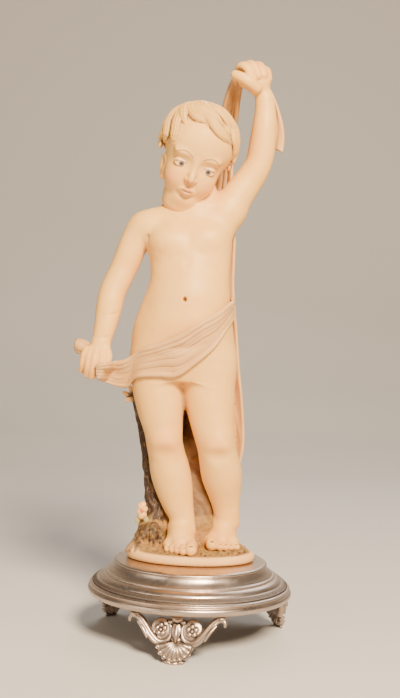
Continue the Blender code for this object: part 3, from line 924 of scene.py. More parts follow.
class HairCap(Mass):
    """The thin cap of hair under the locks, down to the hairline."""

    blend = 1.5

    def __init__(self, head: BoyHead) -> None:
        """Set the cap out over the head's scalp."""
        self.centre = np.array(head.scalp_centre, dtype=np.float32)
        self.radii = np.array(head.scalp, dtype=np.float32)
        self.azimuths, self.elevations = np.array(head.hairline, dtype=np.float64).T
        self.low, self.high = self.centre - self.radii - 2, self.centre + self.radii + 2

    def distance(self, points: Array, centre: Array, reach: float) -> Array:
        """Distances to the cap, lower along its combed strands."""
        scaled = (points - self.centre) / self.radii
        length, shell = oval(scaled, self.radii)
        azimuth = np.degrees(np.arctan2(scaled[:, 0], -scaled[:, 1]))
        elevation = np.degrees(np.arcsin(np.clip(scaled[:, 2] / length, -1, 1)))
        edge = (np.interp(azimuth, self.azimuths, self.elevations) - elevation) * 1.25
        strand = 0.8 * np.cos(np.radians(azimuth) * 17 + 1.5 * np.sin(elevation / 14.0))
        shell = shell + strand * np.clip((75 - elevation) / 30, 0, 1)
        return smooth_carve(shell, -edge, 5.0).astype(np.float32)


@dataclass
class BoyBody:
    """The child's trunk, arms, legs, hands and feet."""

    voxel: float = 1.55
    triangles: int = 146000
    torso: tuple[tuple[float, ...], ...] = (
        (356, -30, 2, 90, 54), (372, -30, 2, 97, 60), (410, -31, 0, 104, 70), (440, -32, -2, 103, 72),
        (467, -32, -5, 99, 70), (495, -30, -8, 92, 66), (520, -27, -10, 86, 64), (554, -23, -9, 79, 60),
        (589, -23, -5, 80, 58), (615, -25, -1, 83, 57), (640, -29, 3, 85, 54), (664, -33, 8, 83, 46),
        (684, -28, 12, 68, 38), (704, -22, 12, 52, 34))
    hanging_arm: tuple[Station, ...] = (
        (-103, 10, 664, 33), (-122, 10, 660, 30.5), (-139, 10, 628, 29), (-152, 10, 593, 27.5), (-163, 8, 565, 27),
        (-177, 2, 531, 26.5), (-183, -3, 498, 26), (-188, -10, 463, 22.5), (-194, -15, 431, 19))
    raised_arm: tuple[Station, ...] = (
        (30, 10, 676, 38), (48, 10, 702, 35), (68, 10, 735, 32), (91, 10, 770, 29), (106, 9, 799, 27),
        (112, 8, 830, 27), (115, 6, 864, 25.5), (116, 5, 900, 22), (113, 2, 932, 18.5))
    standing_leg: tuple[Station, ...] = (
        (-82, 4, 384, 55), (-79, 0, 337, 50), (-72, -6, 297, 45), (-65, -10, 262, 39), (-61, -11, 232, 36.5),
        (-55, -2, 204, 37), (-48, 6, 174, 40), (-40, 10, 144, 38), (-31, 10, 112, 32), (-22, 8, 86, 26.5),
        (-15, 8, 58, 26))
    slack_leg: tuple[Station, ...] = (
        (22, 4, 388, 56), (25, 0, 337, 51), (30, -8, 297, 47), (36, -16, 262, 42), (43, -19, 229, 38.5),
        (50, -8, 198, 40), (56, 4, 171, 41), (62, 14, 139, 34.5), (67, 20, 108, 28), (71, 24, 77, 26))

    def __post_init__(self) -> None:
        """Start the body empty."""
        self.body = Sculpture()

    def sculpt(self) -> None:
        """Lay out every part of the body in order."""
        add = self.body.add
        add(Trunkwise(self.torso, 0.0))
        add(Ball((-22, -24, 520), (62, 54, 62), 30), Ball((-24, -30, 470), (70, 46, 40), 26))
        add(Ball((-64, -18, 632), (40, 38, 30), 26), Ball((10, -18, 642), (40, 38, 30), 26))
        add(Chain([(-22, 16, 656, 48), (-16, 18, 700, 40), (-14, 16, 740, 38)], 20))
        add(Chain([(-92, 12, 674, 30), (-30, 18, 694, 33), (34, 14, 694, 34)], 20))
        add(Ball((-62, 40, 372), (52, 40, 46), 24), Ball((16, 40, 376), (50, 40, 46), 24))
        add(Chain(self.standing_leg, 16), Chain(self.slack_leg, 16))
        add(Chain(self.hanging_arm, 9), Chain(self.raised_arm, 16))
        add(Ball((-110, 6, 662), (34, 32, 30), 16), Ball((50, 8, 700), (33, 30, 31), 14))
        self.joints_and_creases()
        self.foot((-1, -50, 0), (-44, -38, 0), 20.0, 2.0, 1)
        self.foot((38, -12, 0), (84, -12, 0), 24.0, 6.0, -1)
        self.hands()
        self.body.relief.append(lambda points: 0.09 * ripple(points, 26.0, 5) + 0.03 * ripple(points, 7.0, 8))

    def joints_and_creases(self) -> None:
        """Press in the navel and the creases of plump skin, and raise the knees and ankles."""
        add, carve = self.body.add, self.body.carve
        carve(Ball((-30, -82, 516), (3.4, 11, 4.6), 0), 4)
        add(Chain([(-36, -75.5, 521, 2), (-30, -76.5, 524, 2.4), (-24, -75.5, 521, 2)], 4))
        for blend, *crease in (
                (16, (-28, -72, 590, 1.6), (-27, -72, 620, 2.2), (-28, -64, 652, 2.6)),
                (12, (-92, -52, 606, 1.5), (-66, -66, 598, 2.2), (-40, -68, 604, 1.5)),
                (12, (-12, -68, 612, 1.5), (14, -65, 606, 2.0), (40, -52, 616, 1.5)),
                (7, (-108, -26, 640, 2.2), (-112, -20, 612, 2.6), (-110, -8, 590, 2.6)),
                (4, (-196, -30, 480, 0.9), (-180, -32, 482, 1.3), (-166, -22, 486, 0.9)),
                (4, (-210, -28, 437, 1.4), (-196, -37, 436, 1.9), (-180, -30, 438, 1.4)),
                (5, (88, -10, 836, 1.2), (96, -20, 829, 1.8), (112, -22, 826, 1.2)),
                (4, (96, -12, 921, 1.6), (113, -21, 919, 2.0), (130, -12, 921, 1.6)),
                (10, (-66, -53, 432, 1.5), (-30, -72, 422, 2.5), (10, -55, 436, 1.5))):
            carve(Chain(crease, 0), blend)
        add(Ball((-61, -38, 236), (20, 12, 18), 16), Ball((46, -48, 236), (21, 13, 19), 16))
        for x, y, z in ((-60, -57, 210), (49, -65, 208)):
            carve(Ball((x, y, z), (24, 11, 13), 0), 16)
        for x, y, z in ((-38, 8, 58), (7, 10, 62), (50, 26, 74), (85, 24, 72)):
            add(Ball((x, y, z), (8, 10, 9), 10))

    def foot(self, big: Point, small: Point, ground: float, turn: float, hand: int) -> None:
        """Model one foot with its instep, heel and five toes.

        Args:
            big: the big toe's root.
            small: the little toe's root.
            ground: the ground's height.
            turn: how far the foot is turned out.
            hand: 1 where the big toe is on the right as seen from the front, or -1.
        """
        add, carve = self.body.add, self.body.carve
        big, small = np.array(big, float), np.array(small, float)
        middle = (big + small) / 2
        back = np.array((turn * 0.6, 62.0, 0.0))
        heel = middle + back + np.array((0, 0, ground + 21))
        add(Ball(tuple(heel), (23, 24, 22), 12))
        add(Chain([(*(middle + back * 0.72 + (0, 0, ground + 34)), 25),
                   (*(middle + back * 0.3 + (0, 0, ground + 24)), 23), (*(middle + (0, 2, ground + 17)), 17)], 12))
        for side, spread in ((big, 1.0), (small, 0.86)):
            add(Chain([(*(middle * 0.4 + side * 0.6 + back * 0.5 + (0, 0, ground + 17)), 16),
                       (*(side + (0, 4, ground + 13)), 13.5 * spread)], 10))
        for index, (share, size, reach) in enumerate((
                (0.0, 11.5, 20), (0.33, 8.6, 21), (0.56, 8.0, 18), (0.78, 7.4, 14), (1.0, 7.0, 9))):
            root = big + (small - big) * share
            ahead = np.array((turn * 0.5 - hand * 1.6 * index * 0.5, -reach, 0.0))
            tip = root + ahead
            add(Chain([(*(root + (0, 6, ground + size + 3)), size * 0.92),
                       (*(root + ahead * 0.55 + (0, 0, ground + size + 3.5)), size * 0.88),
                       (*(tip + (0, 0, ground + size * 0.86)), size)], 2.2))
            nail = tip + np.array((0, -size * 0.62, ground + size * 1.62))
            carve(Ball(tuple(nail), (size * 0.52, size * 0.5, 1.7), 0, tilted(-38, "X")), 1.2)

    def hands(self) -> None:
        """Close both hands on the cloth."""
        add = self.body.add
        add(Ball((-197, -20, 412), (19, 15, 24), 9), Ball((-206, -22, 402), (22, 14, 18), 9))
        for x, knuckle, middle, tip, size in (
                (-191, (-192, -37, 398), (-191, -42, 380), (-193, -36, 364), 8.6),
                (-202, (-204, -39, 396), (-206, -43, 376), (-209, -35, 360), 8.8),
                (-213, (-215, -36, 397), (-217, -40, 378), (-220, -32, 363), 8.2),
                (-222, (-225, -31, 401), (-228, -34, 384), (-231, -27, 371), 7.4)):
            add(Chain([(x, -26, 412, size), (*knuckle, size + 0.6), (*middle, size - 0.3), (*tip, size - 1.2)], 2.4))
        add(Chain([(-186, -22, 418, 9.5), (-179, -34, 400, 9), (-181, -41, 383, 8)], 4))
        add(Ball((99, -2, 960), (25, 21, 25), 9), Ball((103, 3, 974), (23, 21, 18), 9))
        for stations in (
                ((86, -21, 962, 9.6), (74, -24, 983, 9.8), (63, -16, 988, 8.8), (57, -3, 980, 7.6)),
                ((97, -20, 970, 10.2), (87, -19, 988, 10.0), (77, -7, 994, 9.0), (71, 6, 985, 8.0)),
                ((108, -15, 973, 10.0), (102, -12, 989, 9.6), (93, 2, 995, 8.8), (87, 14, 985, 7.8)),
                ((118, -6, 968, 9.0), (115, -1, 984, 8.8), (108, 11, 989, 8.2), (100, 21, 980, 7.2))):
            add(Chain(stations, 1.5))
        add(Chain([(95, -20, 946, 12), (78, -30, 955, 11.4), (63, -31, 963, 10.6), (52, -28, 968, 9.2)], 3.5))
        add(Ball((78, 2, 968), (22, 16, 20), 6))

    def build(self) -> Piece:
        """Sculpt the body and make its mesh."""
        self.sculpt()
        return porcelain("boy_body", FIGURE, self.body.surface(self.voxel), self.triangles)

    def dress(self, piece: Piece, finish: "Bisque") -> None:
        """Mark the flushed places and the hollows that washes and painted shade darken, and give the body its finish.

        Args:
            piece: the body.
            finish: its material maker.
        """
        points = FIGURE.back(piece.corners())
        flush = np.zeros(len(points))
        for x, y, z, reach, depth in (
                (-61, -45, 238, 26, 0.7), (46, -55, 238, 26, 0.7), (-20, -60, 30, 26, 0.7), (64, -30, 34, 26, 0.7),
                (-210, -38, 378, 26, 0.8), (96, -10, 985, 26, 0.8), (-72, -56, 617, 10, 0.3),
                (8, -56, 627, 10, 0.3), (-150, -18, 590, 22, 0.3), (112, -18, 828, 22, 0.3), (-24, -70, 470, 40, 0.3)):
            away = ((points - (x, y, z)) ** 2).sum(axis=1)
            flush += depth * np.exp(-away / (reach * reach))
        piece.mark("flush", flush)
        piece.mark_hollows(self.body, 2.6, 9.0)
        piece.mark_creases("fine", 2, 2.0, 0.05)
        piece.finish(finish.make())


@dataclass
class Drapery:
    """The cast cloth: across the loins, down the back, and hanging from the raised hand."""

    thickness: float = 9.0
    triangles: int = 124000
    upper: tuple[Point, ...] = (
        (-199, -22, 379), (-188, -20, 384), (-171, -26, 387), (-150, -34, 390), (-137, -40, 396), (-117, -52, 410),
        (-92, -62, 422), (-62, -70, 434), (-25, -76, 453), (12, -70, 477), (38, -54, 494), (55, -26, 508),
        (62, 6, 518), (58, 34, 522))
    lower: tuple[Point, ...] = (
        (-196, -20, 357), (-188, -16, 350), (-173, -14, 345), (-155, -16, 341), (-139, -24, 341), (-130, -34, 352),
        (-113, -56, 362), (-76, -66, 365), (-41, -66, 366), (-6, -68, 392), (28, -62, 424), (56, -34, 468),
        (67, 4, 490), (62, 34, 500))
    back_rows: tuple[tuple[float, ...], ...] = (
        (186, -72, 92, 70, 46), (210, -78, 97, 70, 44), (238, -82, 100, 70, 44), (278, -88, 98, 71, 44),
        (330, -96, 92, 74, 44), (369, -102, 86, 78, 42), (420, -110, 81, 82, 42), (470, -110, 76, 78, 42),
        (514, -96, 70, 70, 42), (560, -88, 66, 66, 42), (610, -88, 66, 66, 42), (650, -76, 66, 68, 44),
        (690, -46, 62, 76, 52), (730, -18, 57, 88, 62), (780, 2, 55, 95, 70), (830, 14, 55, 95, 66),
        (870, 22, 57, 76, 50), (905, 30, 60, 50, 30), (935, 37, 62, 26, 12), (960, 46, 66, 8, 0), (978, 56, 74, 2, -4))
    loose_rows: tuple[tuple[float, ...], ...] = (
        (828, 100, 155, 24, 20), (853, 100, 158, 27, 22), (880, 100, 155, 28, 22), (910, 100, 146, 26, 20),
        (938, 98, 133, 20, 14), (962, 94, 116, 12, 8), (978, 90, 104, 6, 4))

    def front(self, boy: BoyBody) -> Skin:
        """Lay the loincloth close over the body, gathered in rolls along its upper edge.

        Args:
            boy: the body that it lies on.

        Returns:
            Its skin.
        """
        rows, columns = 420, 96
        upper, lower = smooth_line(self.upper, rows), smooth_line(self.lower, rows)
        part = np.linspace(0.0, 1.0, columns)[None, :, None]
        base = upper[:, None, :] * (1 - part) + lower[:, None, :] * part
        along = np.linspace(0.0, 1.0, rows)[:, None]
        across = np.broadcast_to(part[..., 0], (rows, columns))
        coarse = base[::6, ::6]
        start = coarse.reshape(-1, 3).copy()
        start[:, 1] -= 40.0
        place = start.copy()
        for _ in range(14):
            free = boy.body.sample(place)
            place[:, 1] += np.clip(free, -6.0, 14.0) * 0.9
        rest = np.minimum(place[:, 1] - self.thickness * 0.35, start[:, 1] + 40.0 + 9.0).reshape(coarse.shape[:2])
        for _ in range(2):
            rest[1:-1] = (rest[:-2] + 2 * rest[1:-1] + rest[2:]) / 4
        wide = np.linspace(0, rest.shape[0] - 1, rows)
        deep = np.linspace(0, rest.shape[1] - 1, columns)
        half = np.stack([np.interp(wide, np.arange(rest.shape[0]), column) for column in rest.T], axis=1)
        base[..., 1] = np.stack([np.interp(deep, np.arange(rest.shape[1]), row) for row in half], axis=0)
        ends = np.clip(np.minimum(along / 0.10, (1 - along) / 0.10), 0, 1)
        swing = 0.014 * np.sin(along * 21) + 0.010 * np.sin(along * 47 + 1.3)
        rolled = folds(across + swing, (0.05, 0.17, 0.27, 0.37), (0.062, 0.055, 0.05, 0.05), (10.0, 7.6, 4.4, 3.0))
        rolled = rolled * (0.55 + 0.45 * ends) * (1 + 0.12 * np.sin(along * 33))
        slack = folds(across - 0.10 * np.sin(along * 9.0) + swing, (0.53, 0.70), (0.075, 0.085), (3.2, 2.8))
        slack = slack * np.clip(np.abs(np.sin(along * 7.5 + 0.6)) * 1.4 - 0.2, 0.0, 1.0)
        hem = folds(across, (0.955,), (0.05,), (3.4,))
        gather = np.clip(1 - along / 0.30, 0, 1) ** 0.7
        pull = folds(np.mod(across * 4.2 + along * 1.4, 1.0), (0.5,), (0.5,), (5.0,)) * gather
        knot = folds(np.mod(across * 4.6 - along * 2.0, 1.0), (0.5,), (0.5,), (4.4,))
        knot = knot * np.clip((along - 0.84) / 0.16, 0, 1)
        lift = np.maximum(np.maximum(rolled, slack), np.maximum(hem, np.maximum(pull, knot)))
        outward = np.zeros_like(base)
        turn = np.clip((along - 0.86) / 0.14, 0, 1) * 1.1
        outward[..., 0] = np.sin(turn)
        outward[..., 1] = -np.cos(turn)
        outward[..., 2] = 0.25 * (1 - across * 2) * np.clip(1 - across * 3, 0, 1)
        return sheet_mesh(base + outward * (lift - 2.0)[..., None], self.thickness, 4)

    def hanging(
            self, rows: Rows, ridges: float, depth: float, thickness: float, seed: float,
            size: tuple[int, int]) -> Skin:
        """Hang cloth in upright folds between a left and a right edge.

        Args:
            rows: height, left edge, right edge, depth at the middle and depth at the edges.
            ridges: how many folds lie side by side.
            depth: how deep they are.
            thickness: how thick the cloth is.
            seed: shifts the folds' wandering.
            size: how many rows and columns of points.

        Returns:
            Its skin.
        """
        line = smooth_line(rows, size[0])
        z, left, right, middle, edge = (line[:, column][:, None] for column in range(5))
        part = np.linspace(0.0, 1.0, size[1])[None, :]
        bulge = np.sin(pi * part)
        wander = 0.30 * np.sin(z / 63.0 + seed) + 0.16 * np.sin(z / 29.0 + 2 * seed)
        turn = ridges * part + wander * bulge
        ridge = 1.7 * np.sqrt(np.abs(np.sin(pi * turn))) - 1.1
        small = np.sqrt(np.abs(np.sin(pi * (2.3 * ridges * part + 0.5 * np.sin(z / 47.0 + seed))))) - 0.7
        width = np.clip((right - left) / 110.0, 0.30, 1.0)
        facing = np.where(np.array(rows)[:, 3].mean() > 40, 1.0, -1.0)
        crease = 0.35 * small * np.clip((right - left) / 80 - 0.4, 0, 1)
        y = edge + (middle - edge) * bulge ** 0.8 + facing * depth * width * (ridge + crease)
        x = left + (right - left) * part + 0.4 * np.sin(z / 31.0 + seed * 3)
        droop = 4.0 * np.sin(part * pi * ridges + seed) * np.clip(1 - (z - z.min()) / 40.0, 0, 1)
        centres = np.stack([x + 0 * part, y, z + droop], axis=-1)
        return sheet_mesh(centres, thickness, 4)

    def roll(self) -> Skin:
        """The rolled end of the cloth that stands out above the lower hand."""
        line = smooth_line([(-196, -24, 372), (-203, -20, 392), (-214, -12, 408), (-227, -6, 415), (-240, -4, 419),
                            (-250, -3, 420)], 60)
        size = np.interp(np.linspace(0, 1, 60), [0, 0.45, 0.78, 0.90, 0.97, 1.0], [9, 13, 15, 13, 8, 1.0])
        angles = np.linspace(0, 2 * pi, 57)[:-1]
        rings = []
        for index in range(60):
            ahead = line[min(index + 1, 59)] - line[max(index - 1, 0)]
            ahead = ahead / np.linalg.norm(ahead)
            side = np.cross(ahead, (0.0, 1.0, 0.0))
            side = side / np.linalg.norm(side)
            up = np.cross(side, ahead)
            lobes = 1 + 0.16 * np.abs(np.sin(2.5 * angles + 1.2 + index * 0.012)) - 0.1
            rings.append(line[index] + size[index] * lobes[:, None] * (
                np.cos(angles)[:, None] * side * 1.05 + np.sin(angles)[:, None] * up * 0.8))
        corners = np.concatenate(rings)
        number = np.arange(60 * 56).reshape(60, 56)
        ahead = np.roll(number, -1, axis=1)
        faces = np.stack([number[:-1], ahead[:-1], ahead[1:], number[1:]], axis=-1).reshape(-1, 4)
        return corners, faces

    def build(self, boy: BoyBody) -> list[Piece]:
        """Make every cloth.

        Args:
            boy: the body that the cloth lies on.

        Returns:
            The cloths.
        """
        shapes = {
            "front_drape": self.front(boy),
            "back_cloth": self.hanging(self.back_rows, 5.0, 9.0, 10.0, 0.7, (310, 100)),
            "loose_end": self.hanging(self.loose_rows, 2.6, 7.0, 8.0, 2.1, (120, 56)),
            "rolled_end": self.roll(),
        }
        return [porcelain(name, FIGURE, skin, self.triangles) for name, skin in shapes.items()]

    def dress(self, pieces: Sequence[Piece], boy: BoyBody, finish: "Bisque") -> None:
        """Mark the valleys between folds and the places close to the body, which washes and painted shade darken, and
        give the cloths their finish.
        """
        for piece in pieces:
            back = piece is pieces[1]
            piece.mark_creases("groove", 8, 0.45 if back else 1.0, 0.3 if back else 0.1)
            piece.mark_creases("fine", 2, 2.6, 0.04)
            # Painted shade where the cloth lies close to the body, over a shorter reach on the back cloth.
            piece.mark_nearness("hollow", boy.body, 3.0 if back else 9.0)
            height = FIGURE.back(piece.corners())[:, 2]
            # The back cloth turns a darker brown from height 790 upwards; the other cloths take an even brown tone.
            piece.mark("flush", (height - 790.0) / 60.0 if back else 0.2 + 0 * height)
            piece.finish(finish.make())


class OvalSlab(Mass):
    """A low oval plate with rounded borders."""

    def __init__(self, half_width: float, half_depth: float, high: float, rounding: float) -> None:
        """Set the plate out from the height 0 up."""
        self.half = np.array((half_width, half_depth), dtype=np.float32)
        self.top, self.rounding = high, rounding
        self.low = np.array((-half_width, -half_depth, 0.0))
        self.high = np.array((half_width, half_depth, high))

    def distance(self, points: Array, centre: Array, reach: float) -> Array:
        """Distances to the plate."""
        side = oval(points[:, :2] / self.half, self.half)[1] + self.rounding
        rise = np.abs(points[:, 2] - self.top / 2) - self.top / 2 + self.rounding
        outside = np.sqrt(np.maximum(side, 0) ** 2 + np.maximum(rise, 0) ** 2)
        return (outside + np.minimum(np.maximum(side, rise), 0.0) - self.rounding).astype(np.float32)


class Bark(Chain):
    """An upright trunk with knotted ridges of bark."""

    ridges: float = 7.0
    depth: float = 3.0

    def distance(self, points: Array, centre: Array, reach: float) -> Array:
        """Distances to the trunk, lower between its ridges."""
        smooth = super().distance(points, centre, reach)
        height = points[:, 2]
        order = np.argsort(self.middle[:, 2])
        x = points[:, 0] - np.interp(height, self.middle[order, 2], self.middle[order, 0])
        y = points[:, 1] - np.interp(height, self.middle[order, 2], self.middle[order, 1])
        around = np.arctan2(y, x) + 0.5 * np.sin(height / 19.0) + 0.22 * np.sin(height / 6.3 + 2)
        ridge = np.abs(np.sin(around * self.ridges / 2))
        knots = ripple(points, 17.0, 21, (1, 1, 1.6))
        return (smooth - self.depth * (ridge ** 0.6 - 0.6) - 1.1 * knots).astype(np.float32)


@dataclass
class Groundwork:
    """The oval base with its mound, tree stump, trunk and flower."""

    half_width: float = 127.5
    half_depth: float = 84.5
    rim_height: float = 18.0
    voxel: float = 1.5
    triangles: int = 122000
    trunk: tuple[Station, ...] = (
        (-129, 30, 324, 7), (-117, 30, 292, 8.5), (-105, 31, 250, 11), (-96, 33, 212, 13), (-88, 33, 165, 14.5),
        (-81, 32, 118, 17), (-76, 26, 76, 23), (-82, 18, 44, 33))
    roots: list[Mass] = field(default_factory=list)
    stump: tuple[Station, ...] = (
        (10, 52, 306, 28), (6, 52, 230, 33), (2, 50, 160, 37), (4, 46, 90, 44), (4, 40, 40, 54))

    def sculpt(self) -> Sculpture:
        """Lay out the ground.

        Returns:
            Its body.
        """
        body = Sculpture()
        body.add(OvalSlab(self.half_width, self.half_depth, self.rim_height, 8.0))
        body.add(Ball((0, 0, 12), (115, 72, 14), 6), Ball((-84, 4, 16), (40, 42, 27), 14))
        body.add(Ball((64, 20, 16), (44, 42, 15), 12), Ball((4, 42, 16), (56, 32, 30), 14))
        body.add(Ball((-20, -10, 14), (44, 46, 9), 10))
        body.add(Bark(self.trunk, 9.0, 2))
        stump = Bark(self.stump, 9.0, 2)
        stump.ridges, stump.depth = 3.0, 3.2
        body.add(stump)
        for x, y, z, reach, drop in (
                (-86, -4, 60, -34, 16), (-92, 0, 56, -16, 30), (-76, -8, 62, -2, 22), (-98, 8, 54, -30, 34),
                (-66, -4, 52, 16, 16)):
            self.roots.append(Chain([
                (x, y, z, 9), (x + reach * 0.4, y - 14, z - 20, 7), (x + reach * 0.8, y - drop, 24, 5),
                (x + reach, y - drop - 8, 17, 2.5)], 4))
        self.roots.append(Chain([(-72, 31, 136, 11), (-60, 35, 92, 17), (-50, 37, 46, 25)], 10))
        body.add(*self.roots)
        for x, y, z, lean in ((-133, 27, 330, -30), (-122, 23, 334, 10), (-141, 31, 322, -60), (-116, 29, 322, 50),
                              (-128, 34, 342, -8), (-134, 24, 314, -100)):
            body.add(Ball((x, y, z), (5.5, 3.2, 13), 2.5, tilted(lean, "Y")))
        random = np.random.default_rng(4)
        for _ in range(70):
            x, y = random.uniform(12, 112), random.uniform(-66, 60)
            if (x / 112) ** 2 + (y / 70) ** 2 < 1:
                size = random.uniform(2.6, 5.2)
                rise = 20 + 8 * exp(-((x - 64) / 40) ** 2 - ((y - 20) / 40) ** 2)
                body.add(Ball((x, y, rise), (size * 1.3, size * 1.2, size), 2.5))
        body.relief.append(self.texture)
        body.keep = lambda points: -points[:, 2]
        return body

    def texture(self, points: Array) -> Array:
        """Brushed and pitted ground inside the plain rim."""
        x, y = points[:, 0] / self.half_width, points[:, 1] / self.half_depth
        inside = np.clip((0.90 - x ** 2 - y ** 2) * 6, 0, 1)
        inside = inside * np.clip((points[:, 2] - self.rim_height + 5) / 5, 0, 1)
        inside = inside * np.clip(1.6 - points[:, 2] / 60, 0.12, 1)
        return inside * (1.5 * ripple(points, 11.0, 31) + 0.8 * ripple(points, 5.0, 32)).astype(np.float32)

    def build(self) -> list[Piece]:
        """Make the ground and the flower.

        Returns:
            The ground, the petals, the flower's middle and its leaves.
        """
        self.body = self.sculpt()
        pieces = [porcelain("ground_and_trunk", FIGURE, self.body.surface(self.voxel), self.triangles)]
        petals, middle, leaves = Sculpture(), Sculpture(), Sculpture()
        x, y, z = -101.0, -5.0, 93.0
        for index in range(6):
            angle = index * pi / 3 + 0.25
            turn = np.array(Matrix.Rotation(-angle, 3, "Y") @ Matrix.Rotation(radians(30), 3, "Z"))
            spot = (x + 5.2 * cos(angle), y + 0.5, z + 12.5 * sin(angle))
            petals.add(Ball(spot, (7.0, 3.4, 6.2), 0.9, turn))
        petals.add(Chain([(x, y + 2, z, 4), (x + 3, y + 18, z - 4, 5), (x + 8, y + 32, z - 8, 6)], 3))
        middle.add(Ball((x, y - 2, z), (3.4, 3.6, 5.0), 0))
        for angle in range(8):
            middle.add(Ball((x + 2.8 * cos(angle * 0.785), y - 3.4, z + 3.4 * sin(angle * 0.785)),
                            (1.5, 1.5, 1.5), 0.4))
        for dx, dz, lean in ((-7, -17, 25), (8, -18, -30)):
            leaves.add(Ball((x + dx, y + 6, z + dz), (5.2, 2.6, 11.5), 0.8, tilted(lean, "Y")))
        for name, body, fine in (("petals", petals, 0.8), ("flower_middle", middle, 0.5), ("leaves", leaves, 0.9)):
            piece = porcelain(name, FIGURE, body.surface(fine), 12000)
            piece.mark_hollows(body, 1.5, 5.0)
            pieces.append(piece)
        return pieces

    def dress(self, pieces: Sequence[Piece], finishes: Sequence["Bisque"]) -> None:
        """Mark the rim, the bark and the hollows that washes and painted shade darken, and give the pieces their
        finishes.
        """
        ground = pieces[0]
        points = FIGURE.back(ground.corners())
        trunk = Sculpture([Chain(self.trunk[:-1], 0, 2)]).sample(points)
        stump = Sculpture([Chain(self.stump[:-1], 0, 2)]).sample(points)
        radial = (points[:, 0] / self.half_width) ** 2 + (points[:, 1] / self.half_depth) ** 2
        roots = Sculpture(self.roots).sample(points)
        ground.mark("bark", np.maximum((6.0 - trunk) / 5.0, 0.75 * (2.5 - roots) / 2.5))
        ground.mark("stump", (6.0 - stump) / 5.0)
        ground.mark("mound", np.clip((0.93 - radial) * 9, 0, 1) * np.clip((points[:, 2] - 15.5) / 3, 0, 1))
        ground.mark_hollows(self.body, 2.6, 9.0)
        for piece, finish in zip(pieces, finishes):
            piece.mark_creases("fine", 2, 2.0, 0.05)
            piece.finish(finish.make())


